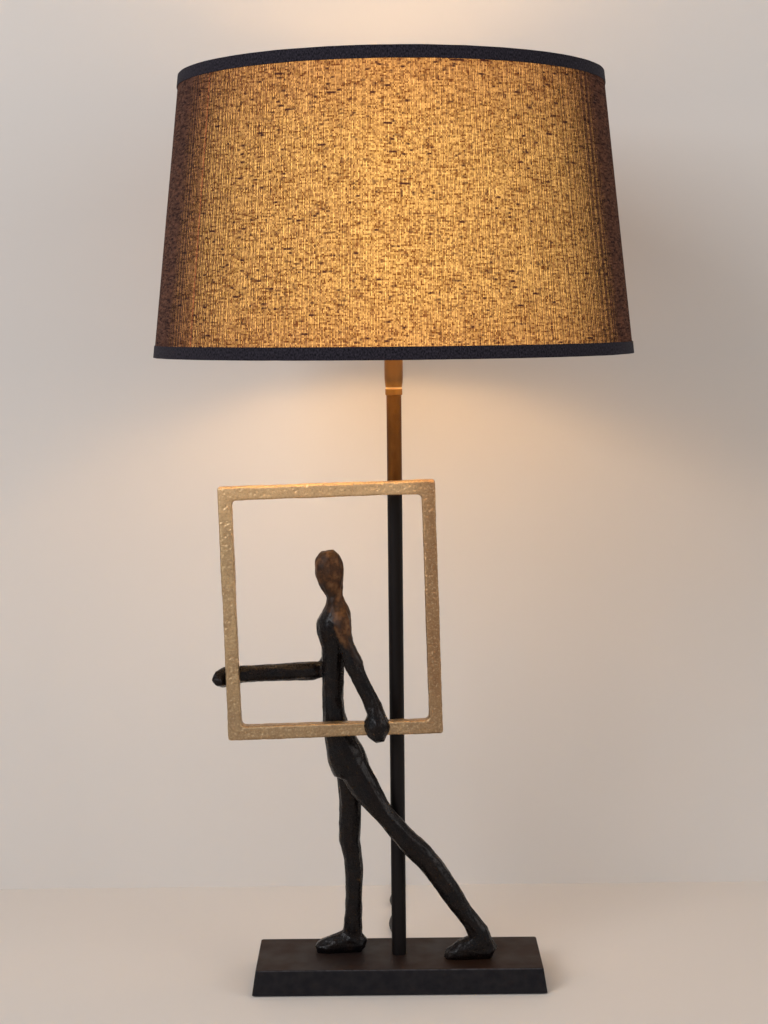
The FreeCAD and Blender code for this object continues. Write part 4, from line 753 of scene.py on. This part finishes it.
black_paint = Finish("satin_black_casting", (0.009, 0.008, 0.010), 0.5, specular=0.17)
plinth_grain = black_paint.noise(0.0012, 3)
plinth_waves = black_paint.noise(0.022, 2)
plinth_z = black_paint.height()
black_paint.set("Roughness", black_paint.between(plinth_waves, 0.3, 0.7, 0.44, 0.60))
thinned = black_paint.between(black_paint.noise(0.006, 4), 0.35, 0.7)
plinth_paint_and_light = black_paint.mix(thinned, (0.0055, 0.0050, 0.0075), (0.0125, 0.0110, 0.0125))
# Painted lamplight: the top face is painted browner, in patches, for the lamp's warm light falling on it.
lamplit_top_painted = black_paint.times(black_paint.between(plinth_z, PLINTH_TOP - 0.6 * MM, PLINTH_TOP - 0.1 * MM),
                              black_paint.between(black_paint.noise(0.045, 3), 0.3, 0.6, 0.3, 1.0))
plinth_paint_and_light = black_paint.mix(lamplit_top_painted, plinth_paint_and_light, (0.0190, 0.0080, 0.0044))
# A lighter, broken band just under the top edge: partly worn paint, partly a painted highlight on the edge's
# rounding.
worn_and_highlit_edge = black_paint.times(
    black_paint.between(plinth_z, PLINTH_TOP - 1.4 * MM, PLINTH_TOP - 0.6 * MM),
    black_paint.between(plinth_z, PLINTH_TOP - 0.3 * MM, PLINTH_TOP - 0.05 * MM, 1.0, 0.0))
edge_breakup = black_paint.between(black_paint.noise(0.004, 3), 0.3, 0.65, 0.25, 1.0)
plinth_paint_and_light = black_paint.mix(black_paint.times(worn_and_highlit_edge, edge_breakup), plinth_paint_and_light, (0.055, 0.050, 0.055))
black_paint.set("Base Color", plinth_paint_and_light)
plinth_relief = black_paint.bump(plinth_waves, 0.5 * MM, 0.35)
black_paint.bump(plinth_grain, 0.10 * MM, 0.6, under=plinth_relief)
dress(black_paint, "plinth")

# %% Pole, collar and neck
GOLD_FADES = (0.368, 0.385)      # the pole's gold turns black over this height, behind the frame's top bar
COLLAR_FOOT, COLLAR_TOP = (corner.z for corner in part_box("collar_ring"))

brass = Finish("antique_gold_to_black", (0.30, 0.12, 0.03), 0.36, metallic=1.0, specular=0.16)
pole_z = brass.height()
mottle = brass.noise(0.009, 5, 0.65, brass.place(scale=(1, 1, 0.45)))
worn_thin = brass.between(mottle, 0.32, 0.68)
# Painted lamplight: the gold is painted darker low down and warmer towards the top, as the bulb's light falls
# off away from it.
gold_in_painted_shade = brass.mix(worn_thin, (0.105, 0.040, 0.0095), (0.175, 0.070, 0.018))
gold_in_painted_lamplight = brass.mix(worn_thin, (0.165, 0.062, 0.0135), (0.250, 0.105, 0.026))
collar_gold = brass.mix(worn_thin, (0.29, 0.125, 0.029), (0.40, 0.185, 0.045))
gold = brass.mix(brass.between(pole_z, 0.413, 0.450, smooth=True), gold_in_painted_shade, gold_in_painted_lamplight)
gold = brass.mix(brass.between(pole_z, COLLAR_FOOT, COLLAR_FOOT + 0.6 * MM), gold, collar_gold)
on_neck = brass.between(pole_z, COLLAR_TOP + 0.8 * MM, COLLAR_TOP + 6.2 * MM, smooth=True)
gold = brass.mix(on_neck, gold, (0.205, 0.100, 0.036))
# Painted highlight: a thin bright band on the collar's top lip.
collar_lip_highlight = brass.times(
    brass.between(pole_z, COLLAR_TOP - 1.2 * MM, COLLAR_TOP - 0.6 * MM),
    brass.between(pole_z, COLLAR_TOP + 0.2 * MM, COLLAR_TOP + 0.8 * MM, 1.0, 0.0))
gold = brass.mix(collar_lip_highlight, gold, (0.92, 0.62, 0.28))
ragged = brass.math("SUBTRACT", brass.noise(0.012, 3), 0.5)
ragged = brass.math("MULTIPLY_ADD", ragged, 0.010, pole_z)
goldness = brass.between(ragged, *GOLD_FADES, smooth=True)
brass.set("Base Color", brass.mix(goldness, (0.0055, 0.0036, 0.0034), gold))
brass.set("Metallic", brass.between(goldness, 0, 1, 0.0, 1.0))
brass.set("Roughness", brass.between(mottle, 0.3, 0.7, 0.46, 0.58))
brass.bump(brass.noise(0.0025, 3), 0.09 * MM, 0.5)
dress(brass, "pole_tube", "collar_ring", "neck")


# %% Lampholder, wire frame of the shade, hardware
def plain_finish(name, color, patch, glossy, dull, grain, depth, detail=3, strength=0.4, metallic=0.0):
    """One colour, a gloss that changes over patches, and a fine grain."""
    finish = Finish(name, color, (glossy + dull) / 2, metallic=metallic)
    finish.vary_gloss(patch, glossy, dull)
    finish.bump(finish.noise(grain, detail), depth, strength)
    return finish


dress(plain_finish("satin_black_holder", (0.016, 0.016, 0.016), 0.01, 0.32, 0.46, 0.0007, 0.03 * MM, 2),
      "socket_cap", "socket_shell", "lower_shade_ring", "upper_shade_ring")
dress(plain_finish("bare_brass", (0.66, 0.45, 0.17), 0.003, 0.2, 0.4, 0.0008, 0.02 * MM, metallic=1.0),
      "terminal_screws", "screw_shell", "centre_contact", "bulb_tip", "switch_terminals")
dress(plain_finish("white_coated_wire", (0.78, 0.76, 0.71), 0.004, 0.4, 0.55, 0.0009, 0.05 * MM, 2, 0.5),
      "spider_spokes", "fitter_ring", "top_wire_ring", "bottom_wire_ring")
dress(plain_finish("zinc_plate", (0.60, 0.60, 0.58), 0.002, 0.26, 0.46, 0.0006, 0.02 * MM, metallic=1.0),
      "lock_washer", "hex_nut", "bottom_nipple", "top_nipple", "foot_screws", "switch_screws")
dress(plain_finish("bright_nickel", (0.66, 0.63, 0.58), 0.003, 0.15, 0.32, 0.0007, 0.015 * MM, metallic=1.0),
      "bulb_cap", "plug_pins")
dress(plain_finish("black_moulding", (0.015, 0.015, 0.016), 0.006, 0.3, 0.44, 0.0005, 0.025 * MM, 2, 0.5),
      "bulb_insulator", "switch_base", "switch_cover", "switch_rocker", "plug_body", "plug_pin_sleeves")

insulation = Finish("cream_insulating_block", (0.68, 0.63, 0.52), 0.6)
insulation.bump(insulation.noise(0.0006, 2), 0.04 * MM, 0.4)
cream = insulation.mix(insulation.noise(0.004), (0.62, 0.57, 0.46), (0.72, 0.67, 0.56))
insulation.set("Base Color", cream)
dress(insulation, "socket_insert")
dress(cable_finish, "cord_bush", "base_lead", "inner_cores")

# %% [markdown]
# ## Film and bulb
# The film inside the shade is a matt white plastic sheet, faintly scratched.  The bulb is opal glass and it
# is on: its warm light falls on the film, the neck, the top of the frame and the figure's shoulders.

# %% Film and opal glass
film_with_painted_glow = Finish("white_shade_film", (0.80, 0.76, 0.68), 0.55)
scratches = film_with_painted_glow.noise(0.02, 4, 0.7, film_with_painted_glow.place(scale=(1, 1, 0.12)))
film_with_painted_glow.set("Roughness", film_with_painted_glow.between(scratches, 0.3, 0.7, 0.45, 0.65))
film_with_painted_glow.bump(scratches, 0.1 * MM, 0.3)
# The film also glows warm by itself: painted light, for the bulb's light scattered through the film.
film_with_painted_glow.set("Emission Color", (1.0, 0.62, 0.27, 1))
film_with_painted_glow.set("Emission Strength", 1.1)
dress(film_with_painted_glow, "shade_liner")

BULB_LIGHT = 30.0
opal_glass = Finish("lit_opal_glass", (0.9, 0.86, 0.8), 0.3)
bulb_z = opal_glass.height()
lit = opal_glass.between(bulb_z, 0.520, 0.545, 0.45, 1.0, smooth=True)
lit = opal_glass.times(lit, opal_glass.between(opal_glass.noise(0.03, 2), 0.2, 0.8, 0.94, 1.06))
opal = opal_glass.mix(lit, (0.55, 0.24, 0.06), (1.0, 0.62, 0.29))
opal_glass.set("Emission Color", opal)
opal_glass.set("Emission Strength", BULB_LIGHT)
dress(opal_glass, "bulb_glass", "light_post")

# %% [markdown]
# ## The open frame
# The frame is a sand casting: four square bars with soft corners and an uneven skin, painted antique gold.
# It starts as a flat block.  Its front and back are inset by one bar's width, and the inner faces are
# bridged, which opens the window and leaves clean corners.  Fine remeshing and a little noise then give
# the bars their cast look.

# %% Frame mesh
FRAME_WIDTH, FRAME_HEIGHT, FRAME_BAR = 0.158, 0.187, 0.010
FRAME_TILT = math.radians(1.45)
frame_low, frame_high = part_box("open_frame")
frame_middle = (frame_low + frame_high) / 2

casting = block(frame_middle, (FRAME_WIDTH, frame_high.y - frame_low.y, FRAME_HEIGHT))
choose(lambda f: abs(f.normal.y) > 0.9)
bpy.ops.mesh.inset(thickness=FRAME_BAR, depth=0)
bpy.ops.mesh.bridge_edge_loops()
choose(lambda e: all(abs(v.co.x - frame_middle.x) < FRAME_WIDTH / 2 - FRAME_BAR / 2 for v in e.verts)
       and abs(e.verts[0].co.y - e.verts[1].co.y) > 0.005, "EDGE")
bpy.ops.mesh.bevel(offset=3.2 * MM, segments=4, affect="EDGES")
choose(lambda e: len(e.link_faces) == 2 and e.calc_face_angle() > math.radians(60), "EDGE")
bpy.ops.mesh.bevel(offset=1.0 * MM, segments=2, affect="EDGES")
choose_all()
bpy.ops.mesh.normals_make_consistent(inside=False)
bpy.ops.object.mode_set(mode="OBJECT")
modify(casting, "REMESH", mode="VOXEL", voxel_size=1.0 * MM, use_smooth_shade=True)
modify(casting, "SMOOTH", factor=0.5, iterations=3)
roughen(casting, 0.03, 0.8 * MM, detail=1)
roughen(casting, 0.0042, 0.6 * MM)
only(casting)
bpy.ops.object.mode_set(mode="EDIT")
choose_all()
bpy.ops.transform.rotate(value=FRAME_TILT, orient_axis="Y", center_override=frame_middle)
bpy.ops.object.mode_set(mode="OBJECT")
print("frame size:", [round(v, 4) for v in casting.dimensions])

# %% Frame finish
gilt = Finish("rough_antique_gold", (0.52, 0.35, 0.18), 0.42, metallic=0.9)
grain = gilt.noise(0.0016, 4, 0.7)
streaks = gilt.noise(0.006, 3, 0.6, gilt.place(scale=(1, 1, 0.5)))
gilt_x = gilt.height("X")
gilt_z = gilt_x.node.outputs["Z"]
pits = gilt.between(gilt.cells(0.0032), 0.12, 0.45)
gilt_wear_and_light = gilt.mix(gilt.between(streaks, 0.36, 0.66), (0.43, 0.285, 0.155), (0.56, 0.385, 0.205))
# Painted lamplight: the top bar is painted lighter and warmer, where the bulb's light falls on it. Towards
# the foot the bars are painted darker.
lamplit_top_bar = gilt.between(gilt_z, 0.330, 0.378, 0.0, 0.5, smooth=True)
gilt_wear_and_light = gilt.mix(lamplit_top_bar, gilt_wear_and_light, (0.80, 0.53, 0.28))
near_foot = gilt.between(gilt_z, 0.290, 0.200, 0.0, 0.45, smooth=True)
gilt_wear_and_light = gilt.mix(near_foot, gilt_wear_and_light, (0.27, 0.18, 0.105))
# Painted shade: the right bar is painted a darker brown, as the side in shade.
right_side_painted_shade = gilt.times(gilt.between(gilt_x, 0.004, 0.030, 0.0, 0.6, smooth=True),
                     gilt.between(gilt_z, 0.190, 0.250, 0.35, 1.0, smooth=True))
gilt_wear_and_light = gilt.mix(right_side_painted_shade, gilt_wear_and_light, (0.235, 0.100, 0.038))
gilt_wear_and_light = gilt.mix(gilt.between(grain, 0.30, 0.46, 0.45, 0.0), gilt_wear_and_light, (0.15, 0.092, 0.048))
gilt_wear_and_light = gilt.mix(gilt.between(grain, 0.54, 0.68, 0.0, 0.4), gilt_wear_and_light, (0.90, 0.68, 0.42))
# Ridges are painted lighter: partly rubbed gilt, partly a painted highlight.
worn_highlit_ridge = gilt.between(gilt.add("ShaderNodeNewGeometry", output="Pointiness"), 0.53, 0.60)
gilt_wear_and_light = gilt.mix(gilt.times(worn_highlit_ridge, 0.5), gilt_wear_and_light, (0.88, 0.70, 0.46))
gilt.set("Base Color", gilt_wear_and_light)
gilt.set("Roughness", gilt.between(grain, 0.3, 0.7, 0.50, 0.30))
gilt_relief = gilt.bump(pits, 0.45 * MM, 0.6)
gilt.bump(grain, 0.45 * MM, 0.8, under=gilt_relief)
settle(casting, "cast_frame", "lamp", "champagne_gold", gilt.material, "open_frame", smooth=60)

# %% [markdown]
# ## The walking figure
# The figure is a slender, roughly chiselled bronze, with a plain egg-shaped head.  A sculptor builds such
# a figure up on a wire: each limb is a chain of ovals.  So each limb here starts as a circle that is
# extruded from station to station, and each new ring is laid on its own oval, square to the limb.  A voxel
# remesh then melts the limbs into one skin.

# %% Stations of the limbs, in millimetres: x, y, z, width across the limb, thickness towards the viewer
HEAD_AND_TORSO = [
    (-50.6, -8.0, 331.4, 5.0, 5.0), (-50.4, -8.0, 329.4, 14.5, 12.5), (-49.8, -8.0, 324.0, 21.0, 16.5),
    (-49.0, -8.0, 317.0, 22.4, 18.0), (-48.4, -8.0, 309.0, 21.0, 17.4), (-47.2, -8.0, 303.0, 16.6, 15.4),
    (-45.6, -8.0, 298.5, 12.0, 13.0), (-44.9, -8.0, 294.5, 12.4, 12.8), (-44.1, -7.8, 290.0, 16.4, 16.5),
    (-43.8, -7.5, 285.5, 20.6, 21.5), (-44.9, -7.5, 280.0, 24.6, 25.5), (-46.4, -7.5, 273.0, 28.0, 26.0),
    (-46.4, -7.5, 267.5, 25.6, 23.5), (-46.8, -7.5, 261.0, 19.0, 20.0), (-47.0, -7.2, 255.0, 17.0, 18.0),
    (-46.8, -7.0, 247.5, 17.6, 18.0), (-47.2, -7.0, 231.0, 16.8, 17.0), (-47.8, -7.0, 219.0, 15.6, 17.0),
    (-47.0, -7.0, 204.0, 17.6, 19.0), (-44.4, -7.0, 192.0, 21.4, 21.5), (-39.6, -6.5, 180.0, 28.6, 24.5),
    (-35.8, -6.0, 168.0, 30.6, 25.5), (-34.5, -6.0, 158.0, 24.5, 22.5),
]
FRONT_LEG = [
    (-38.0, 1.0, 170.0, 18.0, 16.0), (-36.5, 2.5, 150.0, 18.0, 16.0), (-35.3, 3.5, 134.0, 16.8, 15.5),
    (-37.0, 4.5, 112.0, 16.6, 15.0), (-36.6, 5.0, 104.0, 15.6, 14.5), (-34.2, 5.5, 95.0, 13.9, 14.5),
    (-33.3, 6.0, 84.0, 14.8, 15.0), (-33.7, 6.3, 73.0, 12.8, 13.5), (-34.3, 6.5, 56.0, 12.2, 12.0),
    (-35.2, 6.5, 42.0, 13.8, 12.0), (-35.0, 6.5, 30.0, 16.0, 13.0), (-35.0, 6.5, 22.0, 16.0, 13.0),
]
REAR_LEG = [
    (-36.0, -8.0, 176.0, 22.0, 17.0), (-28.8, -9.5, 158.5, 24.0, 17.5), (-19.6, -12.5, 144.3, 19.6, 17.0),
    (-10.0, -15.0, 132.4, 15.0, 15.5), (-2.9, -15.6, 124.4, 14.8, 15.0), (5.6, -15.6, 113.6, 16.6, 15.5),
    (15.0, -15.2, 104.8, 18.2, 15.5), (24.5, -14.6, 94.2, 17.4, 15.0), (33.0, -13.8, 81.0, 16.4, 14.5),
    (40.5, -12.8, 69.5, 16.2, 13.5), (47.2, -12.0, 58.2, 13.4, 12.5), (53.2, -11.4, 50.2, 13.2, 12.0),
    (60.0, -11.0, 41.0, 16.0, 13.0), (62.5, -11.0, 31.0, 17.0, 14.0), (62.5, -11.0, 23.0, 15.0, 13.0),
]
NEAR_ARM = [
    (-43.5, -11.5, 288.0, 9.0, 9.0), (-41.9, -14.0, 283.0, 14.0, 12.0), (-40.6, -16.0, 277.0, 15.0, 12.6),
    (-39.2, -17.4, 271.0, 12.4, 12.0), (-37.6, -18.4, 264.5, 11.6, 11.8), (-35.2, -19.2, 257.5, 12.8, 12.0),
    (-32.3, -20.0, 250.0, 14.2, 12.8), (-30.8, -20.5, 245.0, 14.4, 12.8), (-29.8, -20.8, 242.2, 11.0, 10.8),
    (-28.6, -21.2, 239.6, 12.6, 12.0), (-26.6, -22.0, 236.0, 12.0, 11.8), (-23.2, -23.2, 229.0, 11.9, 11.6),
    (-19.2, -24.6, 221.5, 12.3, 12.0), (-16.6, -25.4, 215.5, 12.8, 13.6), (-15.4, -26.0, 210.0, 14.0, 16.5),
    (-15.2, -26.0, 204.5, 20.6, 19.5), (-14.6, -26.0, 199.5, 20.2, 19.5), (-13.4, -26.0, 193.5, 13.0, 14.5),
    (-12.6, -26.0, 189.4, 5.0, 7.0),
]
FAR_ARM = [
    (-45.0, 2.0, 283.0, 10.0, 10.0), (-46.5, 4.5, 271.0, 12.0, 11.5), (-48.0, 6.0, 254.0, 12.5, 12.0),
    (-50.6, 5.0, 241.6, 14.0, 13.0), (-58.0, 2.5, 238.8, 14.4, 13.4), (-66.0, -1.4, 239.0, 14.2, 13.6),
    (-92.0, -8.0, 239.6, 12.6, 12.8), (-112.0, -12.3, 239.6, 12.2, 12.4), (-121.0, -13.6, 239.2, 13.0, 11.5),
    (-128.0, -16.5, 238.2, 15.2, 12.0), (-131.4, -22.5, 237.0, 14.4, 10.5), (-131.4, -28.0, 235.8, 10.0, 7.5),
]
FRONT_FOOT = [
    (-25.4, 6.5, 23.5, 9.5, 9.0), (-28.6, 6.5, 26.0, 17.5, 13.5), (-41.5, 6.2, 26.6, 19.5, 14.5),
    (-50.0, 6.2, 25.0, 16.5, 15.5), (-57.0, 6.0, 23.4, 13.5, 15.0), (-61.6, 5.8, 22.2, 10.0, 12.0),
    (-63.8, 5.6, 21.4, 5.0, 6.0),
]
REAR_FOOT = [
    (72.8, -11.0, 23.8, 9.5, 8.0), (69.2, -11.0, 27.0, 18.5, 13.0), (54.0, -11.0, 27.2, 20.5, 15.0),
    (46.0, -11.2, 25.8, 17.5, 15.5), (39.6, -11.6, 23.2, 11.5, 14.0), (33.8, -12.0, 21.0, 5.0, 7.0),
]
LIMB_SIDES = 20


# %% Extrude each limb through its stations
def lay_ring(ring, place, along, width, thickness):
    """Put a ring of vertices on the oval at place, square to along."""
    towards_viewer = Vector((0, -1, 0))
    across = along.cross(towards_viewer).normalized()
    deep = across.cross(along).normalized()
    for k, corner in enumerate(ring):
        turn = 2 * math.pi * k / LIMB_SIDES
        corner.co = place + across * math.cos(turn) * width / 2 + deep * math.sin(turn) * thickness / 2


def limb(stations):
    places = [Vector(station[:3]) * MM for station in stations]
    deselect()
    bpy.ops.mesh.primitive_circle_add(vertices=LIMB_SIDES, radius=5 * MM, fill_type="NGON",
                                      location=places[0])
    piece = bpy.context.object
    bpy.ops.object.transform_apply(location=True)
    bpy.ops.object.mode_set(mode="EDIT")
    for k, place in enumerate(places):
        before = places[max(k - 1, 0)]
        after = places[min(k + 1, len(places) - 1)]
        if k:
            bpy.ops.mesh.extrude_region_move(TRANSFORM_OT_translate={"value": place - before})
        mesh = bmesh.from_edit_mesh(piece.data)
        cap = next(face for face in mesh.faces if face.select)
        ring = [loop.vert for loop in cap.loops]
        lay_ring(ring, place, (after - before).normalized(), stations[k][3] * MM, stations[k][4] * MM)
        bmesh.update_edit_mesh(piece.data)
    choose_all()
    bpy.ops.mesh.normals_make_consistent(inside=False)
    bpy.ops.object.mode_set(mode="OBJECT")
    modify(piece, "SUBSURF", levels=2, render_levels=2)
    return piece


limbs = (HEAD_AND_TORSO, FRONT_LEG, REAR_LEG, NEAR_ARM, FAR_ARM, FRONT_FOOT, REAR_FOOT)
figure = join([limb(stations) for stations in limbs])
modify(figure, "REMESH", mode="VOXEL", voxel_size=1.1 * MM)
modify(figure, "SMOOTH", factor=0.5, iterations=3)
print("figure after melting:", len(figure.data.polygons), "faces")

# %% [markdown]
# Chisel work leaves flat planes with soft ridges between them.  Thinning the skin to large triangles makes
# such planes, and a subdivision with a little smoothing rounds their ridges again.  Two fine noises then
# roughen the skin, as sand and the chisel do.

# %% Chisel marks
FIGURE_PLANES = 1000
SOLE_HEIGHT = 20.02 * MM

modify(figure, "DECIMATE", ratio=min(1.0, FIGURE_PLANES / (2 * len(figure.data.polygons))))
modify(figure, "SUBSURF", levels=3, render_levels=3, subdivision_type="SIMPLE")
modify(figure, "SMOOTH", factor=0.5, iterations=3)
roughen(figure, 0.0075, 0.7 * MM, mid_level=0.4, kind="VORONOI")
roughen(figure, 0.0026, 0.45 * MM, detail=1)
only(figure)
bpy.ops.object.mode_set(mode="EDIT")
choose_all()
bpy.ops.mesh.bisect(plane_co=(0, 0, SOLE_HEIGHT), plane_no=(0, 0, -1), clear_outer=True, use_fill=True,
                    threshold=0.001 * MM)
bpy.ops.object.mode_set(mode="OBJECT")
print("figure:", len(figure.data.polygons), "faces, soles at", min(v.co.z for v in figure.data.vertices))

# %% Bronze finish
bronze = Finish("black_patina_bronze", (0.012, 0.009, 0.009), 0.4, specular=0.22)
bronze_x = bronze.height("X")
bronze_z = bronze_x.node.outputs["Z"]
rub = bronze.noise(0.014, 4, 0.6)
nicks = bronze.noise(0.0022, 4, 0.65)
rubbed = bronze.between(rub, 0.35, 0.70)
patina_and_light = bronze.mix(rubbed, (0.0022, 0.0020, 0.0030), (0.0080, 0.0048, 0.0038))
# The head, neck and right shoulder are painted brown: partly a brown patina, partly painted warm lamplight
# from the bulb above.
ragged_edge = bronze.times(bronze.math("SUBTRACT", rub, 0.5), 0.03)
ragged_z = bronze.math("ADD", bronze_z, ragged_edge)
high_up = bronze.between(ragged_z, 0.244, 0.280, smooth=True)
behind_chest = bronze.math("MULTIPLY_ADD", bronze_x, 1.8, ragged_z)
behind_chest = bronze.between(behind_chest, 0.190, 0.197, smooth=True)
brown_and_lamplit = bronze.times(high_up, behind_chest)
nicked = bronze.between(nicks, 0.35, 0.65)
brown = bronze.mix(nicked, (0.034, 0.0130, 0.0042), (0.078, 0.0310, 0.0095))
patina_and_light = bronze.mix(brown_and_lamplit, patina_and_light, brown)
# Darker and lighter blotches, the lighter ones only on the brown head and shoulders: painted shade and
# painted light for shaded and lit chisel planes, laid at random.
blotches = bronze.noise(0.0085, 3, 0.5)
painted_shade_blotch = bronze.between(blotches, 0.36, 0.54, 0.75, 0.0)
patina_and_light = bronze.mix(painted_shade_blotch, patina_and_light, (0.0100, 0.0055, 0.0040))
painted_lit_blotch = bronze.times(brown_and_lamplit, bronze.between(blotches, 0.52, 0.66))
patina_and_light = bronze.mix(painted_lit_blotch, patina_and_light, (0.125, 0.056, 0.021))
# Ridges are painted a light bluish grey and made glossier: partly rubbed polish, partly a painted highlight.
polished_highlit_ridges = bronze.between(bronze.add("ShaderNodeNewGeometry", output="Pointiness"), 0.525, 0.60)
patina_and_light = bronze.mix(bronze.times(polished_highlit_ridges, 0.5), patina_and_light, (0.050, 0.046, 0.052))
patina_and_light = bronze.mix(bronze.between(nicks, 0.66, 0.80, 0.0, 0.3), patina_and_light, (0.07, 0.055, 0.045))
bronze.set("Base Color", patina_and_light)
bronze.set("Metallic", bronze.between(rub, 0.4, 0.7, 0.1, 0.35))
gloss = bronze.between(nicks, 0.3, 0.7, 0.22, 0.33)
gloss = bronze.math("MULTIPLY_ADD", polished_highlit_ridges, -0.06, gloss)
bronze.set("Roughness", bronze.math("MULTIPLY_ADD", brown_and_lamplit, 0.22, gloss))
tool_marks = bronze.noise(0.0030, 3, 0.6, bronze.place(scale=(1, 1, 0.3)))
tool_relief = bronze.bump(tool_marks, 0.7 * MM, 0.6)
bronze.bump(nicks, 0.25 * MM, 0.7, under=tool_relief)
settle(figure, "walking_figure", "lamp", "dark_bronze", bronze.material,
       "figure_body", "near_forearm", "far_arm", smooth=35)

# %% [markdown]
# ## Felt
# The felt under the plinth is a soft sheet.  It is made as a thin slab with a rounded rim, and its finish
# gives it the tangle of its fibres.

# %% Felt
felt_low, felt_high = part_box("felt_pad")
felt = block((felt_low + felt_high) / 2, felt_high - felt_low)
choose(lambda e: abs(e.verts[0].co.z - e.verts[1].co.z) > 0.5 * MM, "EDGE")
bpy.ops.mesh.bevel(offset=2 * MM, segments=4, affect="EDGES")
choose(lambda e: len(e.link_faces) == 2 and e.calc_face_angle() > math.radians(60), "EDGE")
bpy.ops.mesh.bevel(offset=0.35 * MM, segments=2, affect="EDGES")
bpy.ops.object.mode_set(mode="OBJECT")

felt_finish = Finish("dark_felt", (0.03, 0.03, 0.032), 0.97, specular=0.1)
fibres = felt_finish.noise(0.0009, 4, 0.7, distortion=1.5)
felt_tone = felt_finish.between(fibres, 0.3, 0.7)
felt_finish.set("Base Color", felt_finish.mix(felt_tone, (0.018, 0.018, 0.020), (0.055, 0.055, 0.058)))
felt_finish.set("Sheen Weight", 0.3)
felt_finish.bump(fibres, 0.3 * MM, 0.8)
settle(felt, "felt_sheet", "lamp", "dark_felt", felt_finish.material, "felt_pad")
